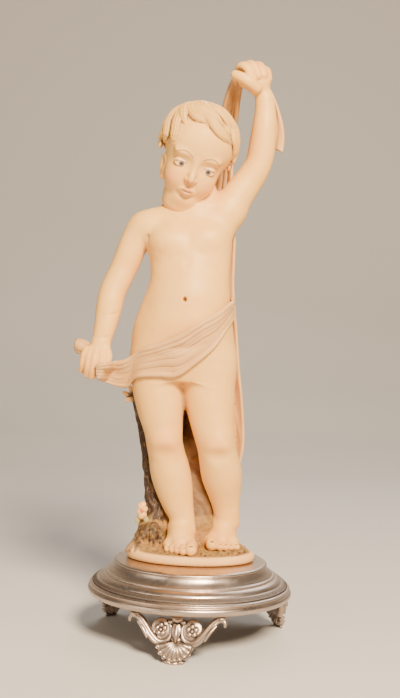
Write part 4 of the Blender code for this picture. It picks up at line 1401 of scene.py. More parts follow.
@dataclass
class RoundStand:
    """The turned metal stand with its engraved band."""

    radius: float = (STAND_HIGH[0] - STAND_LOW[0]) / 2
    low: float = STAND_LOW[2]
    top: float = STAND_HIGH[2]
    segments: int = 380
    beads: int = 200
    profile: tuple[tuple[float, float], ...] = (
        (0.79, 0.0), (0.955, 0.0), (0.972, 0.004), (0.988, 0.022), (0.997, 0.066), (1.0, 0.115), (0.998, 0.160),
        (0.990, 0.196), (0.979, 0.212), (0.976, 0.226), (0.979, 0.240), (0.9835, 0.262), (0.983, 0.288),
        (0.976, 0.306), (0.966, 0.314), (0.960, 0.322), (0.957, 0.332), (0.936, 0.392), (0.914, 0.448),
        (0.909, 0.456), (0.904, 0.456), (0.899, 0.470), (0.896, 0.492), (0.886, 0.530), (0.868, 0.568),
        (0.849, 0.592), (0.836, 0.600), (0.832, 0.606), (0.831, 0.620), (0.8315, 0.640), (0.829, 0.654),
        (0.821, 0.664), (0.812, 0.668), (0.806, 0.676), (0.798, 0.700), (0.782, 0.742), (0.768, 0.792),
        (0.759, 0.842), (0.754, 0.880), (0.753, 0.892), (0.748, 0.896), (0.745, 0.900), (0.7465, 0.912),
        (0.7505, 0.930), (0.7515, 0.950), (0.748, 0.972), (0.741, 0.988), (0.732, 0.997), (0.724, 1.0))

    def turned(self, line: Array, segments: int, relief: Optional[Callable[..., Array]] = None) -> Skin:
        """Turn a profile about the stand's axis.

        Args:
            line: radii and heights in metres, running upwards on the outside.
            segments: how many steps round.
            relief: how far the skin stands out, from turns and the share of the profile.

        Returns:
            Corners and four-sided faces.
        """
        angle = np.linspace(0.0, 2 * pi, segments + 1)[:-1]
        out, height = line[:, 0][None, :], line[:, 1][None, :]
        if relief is not None:
            share = np.linspace(0.0, 1.0, len(line))[None, :]
            rise = relief(angle[:, None], share)
            out, height = out + rise * 0.75, height + rise * 0.66
        shape = (segments, len(line))
        corners = np.stack([
            AXIS.x + np.broadcast_to(out, shape) * np.cos(angle)[:, None],
            AXIS.y + np.broadcast_to(out, shape) * np.sin(angle)[:, None], np.broadcast_to(height, shape)], axis=-1)
        number = np.arange(segments * len(line)).reshape(shape)
        ahead = np.roll(number, -1, axis=0)
        faces = np.stack([number[:, :-1], ahead[:, :-1], ahead[:, 1:], number[:, 1:]], axis=-1).reshape(-1, 4)
        return corners.reshape(-1, 3), faces

    def metres(self, profile: Sequence[tuple[float, float]]) -> Array:
        """A profile of shares in metres."""
        return np.array([(share * self.radius, self.low + rise * (self.top - self.low)) for share, rise in profile])

    def engraving(self, angle: Array, share: Array) -> Array:
        """The band's two crossing rows of small beads between plain lines."""
        weave = np.sin(angle * self.beads / 2 + share * 9.4) * np.sin(angle * self.beads / 2 - share * 9.4)
        edge = np.clip(np.minimum(share, 1 - share) / 0.12, 0, 1)
        return 0.00008 + 0.00046 * edge * np.abs(weave) ** 0.8 - 0.0002 * (1 - edge)

    def build(self) -> list[Piece]:
        """Make the stand's body, its flat top and bottom, and the engraved band.

        Returns:
            The body and the band.
        """
        line = smooth_line(self.metres(self.profile), 124)
        disc = np.stack([np.linspace(self.profile[-1][0] * self.radius, 0.0004, 14), np.full(14, self.top)], axis=1)
        recess = self.low + 0.0018
        below = np.array([(0.0004, recess), (0.3 * self.radius, recess), (0.6 * self.radius, recess),
                          (0.784 * self.radius, recess), (0.79 * self.radius, self.low)])
        whole = np.concatenate([below[:-1], line, disc[1:]])
        body = Piece("turned_stand", METRES, *self.turned(whole, self.segments), "stand", "stand_metal")
        band = smooth_line(self.metres([(0.9575, 0.330), (0.936, 0.392), (0.9145, 0.448)]), 13)
        skin = self.turned(band, self.beads * 8, self.engraving)
        ring = Piece("engraved_band", METRES, *skin, "stand", "stand_metal")
        for piece in (body, ring):
            LOG.info("%s: %d faces", piece.thing.name, len(piece.thing.data.polygons))
        return [body, ring]

    def dress(self, pieces: Sequence[Piece], finish: "AgedSilver") -> None:
        """Mark the grooves and give the stand its metal."""
        pieces[0].mark_creases("groove", 10, 1.7, 0.04)
        points = pieces[1].corners() - np.array(AXIS)
        share = (np.hypot(points[:, 0], points[:, 1]) / self.radius - 0.9575) / (0.9145 - 0.9575)
        rise = self.engraving(np.arctan2(points[:, 1], points[:, 0]), np.clip(share, 0, 1))
        pieces[1].mark("groove", (0.00040 - rise) / 0.00046)
        for piece in pieces:
            piece.mark_creases("fine", 2, 2.0, 0.04)
            piece.finish(finish.make())


class Scallop(Mass):
    """A ribbed shell that fans downwards and bellies outwards."""

    blend = 3.0

    def __init__(self, hinge: Point, reach: float, ribs: int) -> None:
        """Set the shell out from its hinge."""
        self.hinge, self.reach, self.ribs = np.array(hinge, dtype=np.float32), reach, ribs
        self.low = np.array((hinge[0] - reach, hinge[1] - 60, hinge[2] - reach - 12))
        self.high = np.array((hinge[0] + reach, hinge[1] + 30, hinge[2] + 30))

    def distance(self, points: Array, centre: Array, reach: float) -> Array:
        """Distances to the shell."""
        x, y, z = (points - self.hinge).T
        away = np.sqrt(x * x + z * z) + 1e-3
        angle = np.arctan2(x, -z)
        spread = radians(80)
        part = np.clip(away / self.reach, 0, 1.2)
        turn = angle / spread * self.ribs / 2
        ribs = np.abs(np.cos(pi * turn)) ** 0.7
        curl = 20 * np.exp(-((part - 1.0) / 0.11) ** 2)
        face = -30 * np.sin(pi * np.clip(part, 0, 1) ** 0.8) - 13 * ribs * part - curl
        scallop = self.reach * (0.93 + 0.05 * ribs)
        through = np.abs(y - face) * 0.78 - 8 - 6 * np.exp(-((part - 1.0) / 0.12) ** 2)
        border = np.maximum(away - scallop, (np.abs(angle) - spread) * away) + 6
        return (np.sqrt(np.maximum(through + 4, 0) ** 2 + np.maximum(border, 0) ** 2)
                + np.minimum(np.maximum(through + 4, border), 0) - 4).astype(np.float32)


@dataclass
class ShellFeet:
    """Three cast feet alike, each two scrolls with rosettes over a scallop shell."""

    count: int = 3
    first: float = -6.5
    inset: float = 0.0114
    lean: float = 100.0
    voxel: float = 2.6
    triangles: int = 43000

    def sculpt(self) -> Sculpture:
        """Lay out one foot in tenths of a millimetre, upright, outward towards -Y.

        Returns:
            Its body.
        """
        body = Sculpture()
        top = (STAND_LOW[2] - 0.0003) * 10000
        body.add(Scallop((0, 4, 128), 124, 9))
        body.add(Ball((0, 6, 126), (34, 16, 24), 10))
        for side in (-1, 1):
            arm = [(side * x, 0, z, size) for x, z, size in (
                (292, 222, 9), (292, 240, 13), (278, 254, 15), (256, 254, 17), (224, 234, 20), (190, 193, 24),
                (160, 156, 25), (127, 125, 24), (96, 113, 19), (60, 122, 16), (38, 148, 13), (33, 186, 11),
                (44, 214, 8))]
            body.add(Chain(arm, 4))
            body.carve(Chain([(x, -size - 1, z, 0.26 * size) for x, _, z, size in arm[3:10]], 0), 4)
            body.add(Ball((side * 266, 0, top - 12), (30, 25, 12), 5))
            body.add(Chain([(side * 240, -14, 222, 8), (side * 204, -20, 184, 11), (side * 178, -18, 140, 8)], 3))
            body.add(Ball((side * 96, 6, 186), (62, 14, 62), 3))
            for petal in range(5):
                angle = 2 * pi * petal / 5 + pi / 2
                spot = (side * 96 + 24 * cos(angle), -12, 186 + 24 * sin(angle))
                body.add(Ball(spot, (15, 11, 15), 1.5))
            body.add(Ball((side * 96, -20, 186), (11, 11, 11), 1))
            body.add(Ball((side * 40, -8, top - 46), (18, 18, 15), 2))
            body.add(Chain([(side * 12, -8, 214, 12), (side * 20, -14, 180, 11), (side * 10, -16, 142, 6)], 2))
        body.add(Ball((0, -8, top - 26), (38, 32, 26), 2))
        body.add(Chain([(0, -12, 206, 14), (0, -24, 166, 14), (0, -24, 122, 5)], 2))
        body.add(Chain([(-52, -18, 12, 10), (0, -32, 7, 12), (52, -18, 12, 10)], 8))
        body.keep = lambda points: np.maximum(-points[:, 2], points[:, 2] - top)
        return body

    def build(self) -> list[Piece]:
        """Make the feet.

        Returns:
            The feet.
        """
        self.body = self.sculpt()
        skin = self.body.surface(self.voxel)
        pieces = []
        shear = Matrix.Identity(4)
        shear[1][2] = self.lean / 277.0
        shear[1][3] = -self.lean
        radius = (STAND_HIGH[0] - STAND_LOW[0]) / 2
        for index in range(self.count):
            azimuth = radians(self.first + 360 * index / self.count)
            stance = Matrix.Translation(AXIS) @ Matrix.Rotation(azimuth, 4, "Z")
            stance = stance @ Matrix.Translation((0.0, self.inset - radius, 0.0)) @ Matrix.Scale(0.0001, 4) @ shear
            name = f"shell_foot_{index + 1}"
            piece = Piece(f"cast_{name}", Placing(stance), *skin, name, "foot_metal")
            piece.thin(self.triangles)
            pieces.append(piece)
        return pieces

    def dress(self, pieces: Sequence[Piece], finish: "AgedSilver") -> None:
        """Mark the hollows and give the feet their metal."""
        for piece in pieces:
            piece.mark_hollows(self.body, 7.0, 18.0)
            piece.mark_creases("fine", 2, 2.0, 0.04)
            piece.finish(finish.make())


# Finishes


class Graph:
    """A node tree that is written down node by node."""

    def __init__(self, tree: Tree) -> None:
        """Start writing in a tree."""
        self.tree = tree

    def node(self, kind: str, inputs: Optional[dict] = None, **settings: object) -> Node:
        """Add a node.

        Args:
            kind: its type.
            inputs: values or sockets for its inputs, by name or number.
            **settings: its own settings.

        Returns:
            The node.
        """
        node = self.tree.nodes.new(kind)
        for name, value in settings.items():
            setattr(node, name, value)
        for name, value in (inputs or {}).items():
            socket = node.inputs[name]
            if isinstance(value, Socket):
                self.link(value, socket)
            elif socket.type == "RGBA" and len(value) == 3:
                socket.default_value = (*value, 1.0)
            else:
                socket.default_value = value
        return node

    def link(self, value: Socket, end: Socket) -> None:
        """Join two sockets."""
        self.tree.links.new(value, end)

    def math(self, operation: str, first: object, second: object = 0.5, clamp: bool = False) -> Socket:
        """Add a sum and return its result."""
        return self.node("ShaderNodeMath", {0: first, 1: second}, operation=operation, use_clamp=clamp).outputs[0]

    def vector(self, operation: str, first: object, second: object) -> Node:
        """Add a sum of vectors."""
        return self.node("ShaderNodeVectorMath", {0: first, 1: second}, operation=operation)

    def times(self, first: object, second: object) -> Socket:
        """The product of two values."""
        return self.math("MULTIPLY", first, second)

    def bump(self, height: Socket, strength: float, distance: float, shader: Node) -> None:
        """Roughen a shader's surface."""
        bump = self.node("ShaderNodeBump", {"Height": height, "Strength": strength, "Distance": distance})
        self.link(bump.outputs[0], shader.inputs["Normal"])

    def mix(self, share: object, first: object, second: object, blend: str = "MIX") -> Socket:
        """Mix two colours and return the result."""
        node = self.node("ShaderNodeMix", {0: share, 6: first, 7: second}, data_type="RGBA", blend_type=blend)
        return node.outputs[2]

    def mark(self, name: str) -> Socket:
        """Read one of the corners' marks."""
        return self.node("ShaderNodeAttribute", attribute_name=name).outputs["Fac"]

    def place(self) -> Socket:
        """The object's own coordinates."""
        return self.node("ShaderNodeTexCoord").outputs["Object"]

    def noise(self, where: object, scale: float, detail: float = 3.0, rough: float = 0.55) -> Socket:
        """Noise over a place."""
        return self.node(
            "ShaderNodeTexNoise", {"Vector": where, "Scale": scale, "Detail": detail, "Roughness": rough}).outputs[0]

    def ramp(self, value: object, low: float, high: float) -> Socket:
        """A smooth step between two values."""
        return self.node(
            "ShaderNodeMapRange", {"Value": value, "From Min": low, "From Max": high},
            interpolation_type="SMOOTHSTEP").outputs[0]

    def group(self, tree: Tree, **inputs: object) -> Node:
        """Add a shared effect, its inputs named with underscores for spaces."""
        values = {name.replace("_", " "): value for name, value in inputs.items()}
        return self.node("ShaderNodeGroup", values, node_tree=tree)


def new_material(name: str) -> tuple[Material, Graph, Node]:
    """Start a material.

    Args:
        name: its name.

    Returns:
        The material, its graph and its shader.
    """
    material = bpy.data.materials.new(name)
    material.use_nodes = True
    return material, Graph(material.node_tree), material.node_tree.nodes["Principled BSDF"]


class Kind(Enum):
    """The kinds of socket that the shared effects have."""

    NUMBER = "NodeSocketFloat"
    COLOUR = "NodeSocketColor"
    VECTOR = "NodeSocketVector"


def effect(name: str, inputs: dict[str, Kind], outputs: dict[str, Kind]) -> tuple[Graph, dict, Node]:
    """Start a shared effect.

    Args:
        name: its name.
        inputs: its inputs' names and kinds.
        outputs: its outputs' names and kinds.

    Returns:
        The graph to write it in, its inputs by name, and its output node.
    """
    tree = bpy.data.node_groups.new(name, "ShaderNodeTree")
    for label, kind in inputs.items():
        tree.interface.new_socket(name=label, in_out="INPUT", socket_type=kind.value)
    for label, kind in outputs.items():
        tree.interface.new_socket(name=label, in_out="OUTPUT", socket_type=kind.value)
    graph = Graph(tree)
    start, end = graph.node("NodeGroupInput"), graph.node("NodeGroupOutput")
    return graph, {label: start.outputs[label] for label in inputs}, end


def wash_and_painted_shade() -> Tree:
    """Brown washes worked into the hollows and wiped off the heights, together with painted shade that darkens the same
    grooves, creases and wide hollows.

    Returns:
        The effect, from a clean colour to the washed and shaded one.
    """
    graph, given, end = effect(
        "Wash and painted shade", {"Clean": Kind.COLOUR, "Wash": Kind.COLOUR, "Groove": Kind.NUMBER,
                        "Hollow": Kind.NUMBER, "Fine": Kind.NUMBER, "Amount": Kind.NUMBER,
                        "Place": Kind.VECTOR}, {"Colour": Kind.COLOUR, "Wash": Kind.NUMBER})
    uneven = graph.ramp(graph.noise(given["Place"], 95.0), 0.25, 0.75)
    # Painted shade and brown washes: the fine grooves, the wide hollows and the creases are darkened towards the Wash
    # colour.
    groove = graph.math("POWER", graph.ramp(given["Groove"], 0.10, 0.95), 1.3)
    deep = graph.times(graph.ramp(given["Hollow"], 0.35, 1.0), 0.55)
    both = graph.math("MAXIMUM", graph.math("MAXIMUM", groove, deep), graph.times(given["Fine"], 0.8))
    spread = graph.times(both, graph.math("MULTIPLY_ADD", uneven, 0.5))
    spread = graph.math("ADD", spread, graph.times(both, 0.35))
    share = graph.math("MULTIPLY", spread, given["Amount"], clamp=True)
    graph.link(graph.mix(share, given["Clean"], given["Wash"]), end.inputs["Colour"])
    graph.link(share, end.inputs["Wash"])
    return graph.tree


def painted_spot() -> Tree:
    """A round dab of paint about a point.

    Returns:
        The effect, from a place to a mask.
    """
    graph, given, end = effect(
        "Painted spot", {"Place": Kind.VECTOR, "Middle": Kind.VECTOR, "Radius": Kind.NUMBER,
                         "Softness": Kind.NUMBER}, {"Mask": Kind.NUMBER})
    away = graph.vector("DISTANCE", given["Place"], given["Middle"]).outputs["Value"]
    mask = graph.math("DIVIDE", graph.math("SUBTRACT", given["Radius"], away), given["Softness"], clamp=True)
    graph.link(mask, end.inputs["Mask"])
    return graph.tree


def painted_stroke() -> Tree:
    """One brush stroke between two points.

    Returns:
        The effect, from a place to a mask.
    """
    graph, given, end = effect(
        "Painted stroke", {"Place": Kind.VECTOR, "Start": Kind.VECTOR, "End": Kind.VECTOR,
                           "Radius": Kind.NUMBER, "Softness": Kind.NUMBER}, {"Mask": Kind.NUMBER})
    along = graph.vector("SUBTRACT", given["End"], given["Start"]).outputs[0]
    offset = graph.vector("SUBTRACT", given["Place"], given["Start"]).outputs[0]
    share = graph.math(
        "DIVIDE", graph.vector("DOT_PRODUCT", offset, along).outputs["Value"],
        graph.vector("DOT_PRODUCT", along, along).outputs["Value"], clamp=True)
    nearest = graph.node("ShaderNodeVectorMath", {0: along, 3: share}, operation="SCALE").outputs[0]
    away = graph.vector("DISTANCE", offset, nearest).outputs["Value"]
    mask = graph.math("DIVIDE", graph.math("SUBTRACT", given["Radius"], away), given["Softness"], clamp=True)
    graph.link(mask, end.inputs["Mask"])
    return graph.tree


def fired_surface() -> Tree:
    """The faint mottle and orange-peel of fired and hand-toned porcelain.

    Returns:
        The effect, from a place to a tone and a height.
    """
    graph, given, end = effect(
        "Fired surface", {"Place": Kind.VECTOR}, {"Tone": Kind.NUMBER, "Height": Kind.NUMBER})
    broad = graph.noise(given["Place"], 38.0, 4.0, 0.6)
    fine = graph.noise(given["Place"], 900.0, 2.0, 0.5)
    specks = graph.node("ShaderNodeTexVoronoi", {"Vector": given["Place"], "Scale": 520.0}).outputs["Distance"]
    speck = graph.times(graph.ramp(specks, 0.10, 0.02), 0.25)
    tone = graph.math("SUBTRACT", graph.ramp(broad, 0.3, 0.7), speck)
    graph.link(tone, end.inputs["Tone"])
    height = graph.math("ADD", graph.times(fine, 0.6), graph.times(broad, 0.4))
    graph.link(height, end.inputs["Height"])
    return graph.tree


@dataclass
class Effects:
    """The effects that several finishes share."""

    # the effect of brown washes and painted shade in the hollows
    wash_and_shade: Tree
    spot: Tree
    stroke: Tree
    surface: Tree


@dataclass(frozen=True)
class Bisque:
    """Ivory bisque porcelain with brown washes and painted shade in its hollows, and with paint where it is asked for.
    """

    name: str
    effects: Effects
    clean: Colour
    tone: Colour
    # the dark colour of the washes and of the painted shade in grooves, hollows and creases
    wash_and_shade: Colour
    amount: float
    roughness: float = 0.54
    coat: float = 0.06
    flush: Optional[Colour] = None
    hair: Optional[Colour] = None
    lips: Optional[Colour] = None
    ground: Optional[tuple[Colour, Colour, Colour]] = None
    features: tuple = ()

    def make(self) -> Material:
        """Write the material.

        Returns:
            The material.
        """
        material, graph, shader = new_material(self.name)
        place = graph.place()
        surface = graph.group(self.effects.surface, Place=place)
        colour = graph.mix(surface.outputs["Tone"], self.clean, self.tone)
        amount = self.amount
        wash_and_shade = self.wash_and_shade
        if self.flush:
            colour = graph.mix(graph.times(graph.mark("flush"), 0.62), colour, self.flush)
        if self.hair:
            hair = graph.mark("hair")
            strands = graph.mix(surface.outputs["Tone"], self.hair, tuple(c * 0.86 for c in self.hair))
            colour = graph.mix(hair, colour, strands)
            amount = graph.math("MULTIPLY_ADD", hair, 1.0)
            amount.node.inputs[2].default_value = self.amount
        if self.lips:
            colour = graph.mix(graph.times(graph.mark("lips"), 0.60), colour, self.lips)
        if self.ground:
            colour, wash_and_shade = self.painted_ground(graph, place, colour)
        # Brown washes and painted shade darken the grooves, wide hollows and creases.
        washed_and_shaded = graph.group(
            self.effects.wash_and_shade, Clean=colour, Wash=wash_and_shade, Groove=graph.mark("groove"), Hollow=graph.mark("hollow"),
            Fine=graph.mark("fine"), Amount=amount, Place=place)
        colour = washed_and_shaded.outputs["Colour"]
        for kind, paint, strength, *numbers in self.features:
            if kind is Paint.SPOT:
                middle, radius, softness = numbers
                mask = graph.group(self.effects.spot, Place=place, Middle=middle, Radius=radius, Softness=softness)
            else:
                start, end, radius, softness = numbers
                mask = graph.group(
                    self.effects.stroke, Place=place, Start=start, End=end, Radius=radius, Softness=softness)
            colour = graph.mix(graph.times(mask.outputs[0], strength), colour, paint)
        graph.link(colour, shader.inputs["Base Color"])
        rough = graph.math("MULTIPLY_ADD", surface.outputs["Tone"], 0.10)
        rough.node.inputs[2].default_value = self.roughness - 0.05
        matt = graph.math("MULTIPLY_ADD", washed_and_shaded.outputs["Wash"], 0.25)
        graph.link(rough, matt.node.inputs[2])
        graph.link(matt, shader.inputs["Roughness"])
        graph.bump(surface.outputs["Height"], 0.12, 0.0004, shader)
        for name, value in (
                ("Specular IOR Level", 0.36), ("Subsurface Weight", 0.04), ("Subsurface Radius", (0.9, 0.5, 0.3)),
                ("Subsurface Scale", 0.0015), ("Coat Weight", self.coat), ("Coat Roughness", 0.30)):
            shader.inputs[name].default_value = value
        return material

    def painted_ground(self, graph: Graph, place: object, colour: object) -> tuple[object, object]:
        """Brush the mound, stump and bark over the plain rim.

        Args:
            graph: the material's graph.
            place: the object's coordinates.
            colour: the rim's colour.

        Returns:
            The painted colour and the colour of the washes and painted shade.
        """
        earth, moss, bark = self.ground
        stretched = graph.node("ShaderNodeMapping", {"Vector": place, "Scale": (1.0, 1.0, 2.4)}).outputs[0]
        broad = graph.ramp(graph.noise(stretched, 70.0, 3.0, 0.6), 0.38, 0.62)
        fine = graph.ramp(graph.noise(stretched, 240.0, 3.0, 0.6), 0.42, 0.66)
        brushed = graph.mix(broad, earth, moss)
        brushed = graph.mix(graph.times(fine, 0.30), brushed, (0.46, 0.25, 0.075))
        colour = graph.mix(graph.times(graph.mark("mound"), 0.9), colour, brushed)
        grain = graph.node(
            "ShaderNodeTexWave",
            {"Vector": place, "Scale": 26.0, "Distortion": 7.0, "Detail": 2.0, "Detail Scale": 0.7},
            bands_direction="DIAGONAL").outputs["Fac"]
        line = graph.ramp(grain, 0.16, 0.02)
        stump = graph.mix(broad, (0.155, 0.080, 0.029), (0.20, 0.110, 0.046))
        stump = graph.mix(graph.times(line, 0.75), stump, (0.13, 0.055, 0.022))
        colour = graph.mix(graph.mark("stump"), colour, stump)
        streaks = graph.node("ShaderNodeMapping", {"Vector": place, "Scale": (1.0, 1.0, 0.35)}).outputs[0]
        light = graph.ramp(graph.noise(streaks, 620.0, 3.0, 0.7), 0.53, 0.68)
        trunk = graph.mix(graph.times(light, 0.8), bark, (0.26, 0.165, 0.10))
        return graph.mix(graph.mark("bark"), colour, trunk), self.wash_and_shade


class Paint(Enum):
    """How a small painted feature is laid on."""

    SPOT = "spot"
    STROKE = "stroke"


@dataclass(frozen=True)
class AgedSilver:
    """Silvered metal, worn bright on its heights and dark in its grooves."""

    name: str
    bright: Colour
    dark: Colour
    roughness: float
    grime: float

    def make(self) -> Material:
        """Write the material.

        Returns:
            The material.
        """
        material, graph, shader = new_material(self.name)
        place = graph.place()
        cloud = graph.ramp(graph.noise(place, 60.0, 5.0, 0.65), 0.3, 0.75)
        speck = graph.ramp(graph.noise(place, 420.0, 3.0, 0.6), 0.52, 0.72)
        groove = graph.ramp(graph.mark("groove"), 0.08, 0.65)
        dirt = graph.math("MAXIMUM", groove, graph.times(graph.mark("fine"), 0.7))
        dirt = graph.math("MAXIMUM", graph.times(dirt, self.grime), graph.times(speck, 0.25))
        tarnish = graph.times(cloud, 0.30)
        colour = graph.mix(tarnish, self.bright, tuple(c * 0.62 for c in self.bright))
        colour = graph.mix(dirt, colour, self.dark)
        graph.link(colour, shader.inputs["Base Color"])
        rough = graph.math("MULTIPLY_ADD", cloud, 0.16)
        rough.node.inputs[2].default_value = self.roughness
        worn = graph.math("MULTIPLY_ADD", dirt, 0.30)
        graph.link(rough, worn.node.inputs[2])
        graph.link(worn, shader.inputs["Roughness"])
        metal = graph.math("SUBTRACT", 1.0, graph.times(dirt, 0.55))
        graph.link(metal, shader.inputs["Metallic"])
        scratch = graph.node("ShaderNodeMapping", {"Vector": place, "Scale": (1.0, 1.0, 9.0)}).outputs[0]
        height = graph.math("ADD", graph.noise(place, 700.0, 3.0), graph.times(graph.noise(scratch, 300.0), 0.5))
        graph.bump(height, 0.10, 0.0003, shader)
        return material


# The photograph's stage


@dataclass(frozen=True)
class Viewpoint:
    """Where the photograph was taken from: level, close, and turned a little."""

    distance: float = 0.6860
    height: float = 0.1898
    across: float = 0.0009
    lens: float = 53.12
    roll: float = 2.2

    def set_up(self) -> None:
        """Place the camera."""
        data = bpy.data.cameras.new("Viewpoint")
        data.sensor_width = 36.0
        data.lens = self.lens
        data.clip_start = 0.05
        camera = bpy.data.objects.new("Viewpoint", data)
        spot = Matrix.Translation((AXIS.x + self.across, AXIS.y - self.distance, self.height))
        turn = Matrix.Rotation(radians(90), 4, "X") @ Matrix.Rotation(radians(self.roll), 4, "Z")
        camera.matrix_world = spot @ turn
        bpy.context.scene.collection.objects.link(camera)
        bpy.context.scene.camera = camera


@dataclass(frozen=True)
class Studio:
    """A pale floor and backdrop with soft lights."""

    floor: Colour = (0.58, 0.55, 0.52)
    room: Colour = (0.86, 0.78, 0.68)
    strength: float = 0.24

    def lamp(self, name: str, place: Point, size: float, power: float, colour: Colour) -> None:
        """Hang one soft lamp that faces the object's middle.

        Args:
            name: the lamp's name.
            place: where it hangs.
            size: how wide it is.
            power: its power in watts.
            colour: its colour.
        """
        data = bpy.data.lights.new(name, "AREA")
        data.shape, data.size, data.energy, data.color = "DISK", size, power, colour
        lamp = bpy.data.objects.new(name, data)
        lamp.location = place
        aim = Vector((0.0, 0.0, 0.20)) - Vector(place)
        lamp.rotation_mode = "QUATERNION"
        lamp.rotation_quaternion = aim.to_track_quat("-Z", "Y")
        bpy.context.scene.collection.objects.link(lamp)

    def set_up(self) -> None:
        """Lay the floor and hang the lamps."""
        mesh = bpy.data.meshes.new("Floor")
        profile = [(-3.0, 0.0), (0.9, 0.0), (1.15, 0.03), (1.35, 0.12), (1.47, 0.30), (1.5, 0.55), (1.5, 3.0)]
        corners = [(x, y, z) for y, z in profile for x in (-3.0, 3.0)]
        faces = [(2 * i, 2 * i + 1, 2 * i + 3, 2 * i + 2) for i in range(len(profile) - 1)]
        mesh.from_pydata(corners, [], faces)
        mesh.polygons.foreach_set("use_smooth", [True] * len(faces))
        floor = bpy.data.objects.new("Floor", mesh)
        bpy.context.scene.collection.objects.link(floor)
        material, _, shader = new_material("Pale floor")
        shader.inputs["Base Color"].default_value = (*self.floor, 1.0)
        shader.inputs["Roughness"].default_value = 0.9
        mesh.materials.append(material)
        world = bpy.data.worlds.new("Room")
        world.use_nodes = True
        sky = world.node_tree.nodes["Background"]
        sky.inputs["Color"].default_value = (*self.room, 1.0)
        sky.inputs["Strength"].default_value = self.strength
        bpy.context.scene.world = world
        self.lamp("Key", (0.34, -1.05, 0.92), 0.42, 66.0, (1.0, 0.82, 0.60))
        self.lamp("Fill", (-0.95, -0.75, 0.40), 0.8, 5.0, (1.0, 0.86, 0.70))
        self.lamp("Back", (0.30, 0.85, 0.95), 0.7, 7.0, (1.0, 0.97, 0.94))


def painted_features(head: BoyHead) -> tuple:
    """The eyes, each with a painted highlight, the lashes and the brows, set from the head's own sizes.

    Args:
        head: the head that they are painted on.

    Returns:
        Paint dabs and strokes in metres.
    """
    def spot(x: float, y: float, z: float) -> Point:
        """A point of the head in metres."""
        return tuple(float(value) for value in head.placing.out(np.array([(x, y, z)]))[0])

    x, y, z = head.eye
    brown, black, white = (0.085, 0.05, 0.032), (0.015, 0.010, 0.010), (0.82, 0.68, 0.52)
    paints = []
    look = Vector((0.04, -1.0, -0.20)).normalized() * head.eye_radius
    for side in (-1, 1):
        u, v, w = side * x + look.x, y + look.y, z + look.z
        # Eye white, iris and pupil, then a painted highlight: a small white glint on each iris.
        for paint, strength, place, radius, softness in (
                (white, 0.55, (side * x, y - 15, z), 9.0, 3.0), (brown, 0.88, (u, v, w), 6.2, 0.9),
                (black, 0.95, (u, v, w), 3.3, 0.8), (white, 0.9, (u - 1.8, v, w + 2.2), 1.3, 0.5)):
            paints.append((Paint.SPOT, paint, strength, spot(*place), radius * SHARE, softness * SHARE))
        lash = []
        for step in range(6):
            part = step / 5 * 2 - 1
            across, up = radians(58 * part), radians(9 * (1 - part * part) - 4 * part * part)
            reach = head.eye_radius + 1.8
            lash.append(spot(side * x + reach * sin(across) * cos(up),
                             y - reach * cos(across) * cos(up), z + reach * sin(up)))
        arch = ((11, -11), (17, -6.5), (24, -4), (31, -4), (38, -6.5), (43, -10.5))
        brow = [spot(*head.on_face(side * u, w)) for u, w in arch]
        for line, paint, strength, radius, softness in (
                (lash, (0.16, 0.09, 0.06), 0.8, 1.5, 1.0), (brow, (0.22, 0.12, 0.07), 0.75, 1.7, 1.2)):
            for start, end in zip(line, line[1:]):
                paints.append((Paint.STROKE, paint, strength, start, end, radius * SHARE, softness * SHARE))
    return tuple(paints)


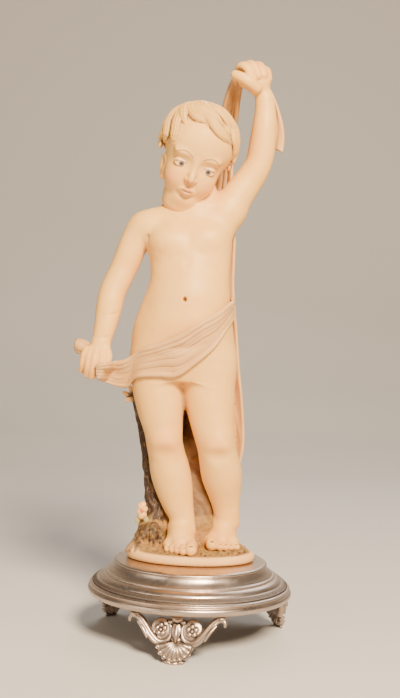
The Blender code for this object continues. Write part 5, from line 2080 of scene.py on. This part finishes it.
@dataclass
class Finishes:
    """Every finish of the object."""

    effects: Effects
    skin: Colour = (0.87, 0.495, 0.135)
    ivory: Colour = (0.80, 0.425, 0.10)
    # the dark brown of the washes and of the painted shade in the hollows
    wash_and_shade: Colour = (0.13, 0.052, 0.016)
    flush: Colour = (0.80, 0.30, 0.085)

    def body(self) -> Bisque:
        """The bare skin."""
        return Bisque("Bisque skin", self.effects, self.skin, self.ivory, self.wash_and_shade, 0.75, flush=self.flush)

    def head(self, head: BoyHead) -> Bisque:
        """The painted head."""
        return Bisque(
            # the darker brown in this call is the head's colour for washes and painted shade
            "Bisque head", self.effects, self.skin, self.ivory, (0.24, 0.115, 0.040), 0.70, flush=self.flush,
            hair=(0.80, 0.445, 0.105), lips=(0.52, 0.17, 0.10), features=painted_features(head))

    def cloth(self) -> Bisque:
        """The cast cloth."""
        return Bisque(
            "Bisque cloth", self.effects, (0.76, 0.44, 0.17), (0.66, 0.36, 0.12), self.wash_and_shade, 0.95, 0.5,
            flush=(0.30, 0.135, 0.030))

    def ground(self) -> tuple[Bisque, ...]:
        """The base, the petals, the flower's middle and its leaves."""
        return (
            # the darkest brown in this call is the ground's colour for washes and painted shade
            Bisque("Painted ground", self.effects, (0.88, 0.52, 0.20), (0.80, 0.44, 0.15), (0.06, 0.026, 0.010), 1.0,
                   0.66, 0.0, ground=((0.25, 0.105, 0.018), (0.18, 0.102, 0.022), (0.042, 0.021, 0.011))),
            Bisque("Petal glaze", self.effects, (0.86, 0.54, 0.19), (0.82, 0.42, 0.13), self.wash_and_shade, 1.0, 0.5),
            Bisque("Flower middle glaze", self.effects, (0.66, 0.16, 0.05), (0.56, 0.12, 0.04), self.wash_and_shade, 0.7, 0.5),
            Bisque("Leaf glaze", self.effects, (0.40, 0.34, 0.12), (0.30, 0.26, 0.09), self.wash_and_shade, 0.8, 0.45))

    def stand(self) -> AgedSilver:
        """The turned metal."""
        return AgedSilver("Aged silvered metal", (0.54, 0.43, 0.355), (0.018, 0.011, 0.008), 0.26, 1.0)

    def feet(self) -> AgedSilver:
        """The cast metal."""
        return AgedSilver("Cast silvered metal", (0.50, 0.385, 0.30), (0.025, 0.015, 0.010), 0.26, 1.0)


def main() -> None:
    """Build the figurine, its stand and feet, and set the photograph's view."""
    logging.basicConfig(level=logging.INFO, format="%(name)s: %(message)s")
    began = time.perf_counter()
    Viewpoint().set_up()
    Studio().set_up()
    finishes = Finishes(Effects(wash_and_painted_shade(), painted_spot(), painted_stroke(), fired_surface()))
    head, boy, drapery, ground = BoyHead(), BoyBody(), Drapery(), Groundwork()
    stand, feet = RoundStand(), ShellFeet()
    body_piece, head_piece = boy.build(), head.build()
    cloths, ground_pieces = drapery.build(boy), ground.build()
    stand_pieces, foot_pieces = stand.build(), feet.build()
    LOG.info("built after %.0f s", time.perf_counter() - began)
    boy.dress(body_piece, finishes.body())
    head.dress(head_piece, finishes.head(head))
    drapery.dress(cloths, boy, finishes.cloth())
    ground.dress(ground_pieces, finishes.ground())
    stand.dress(stand_pieces, finishes.stand())
    feet.dress(foot_pieces, finishes.feet())
    LOG.info("dressed after %.0f s", time.perf_counter() - began)


if __name__ == "__main__":
    main()
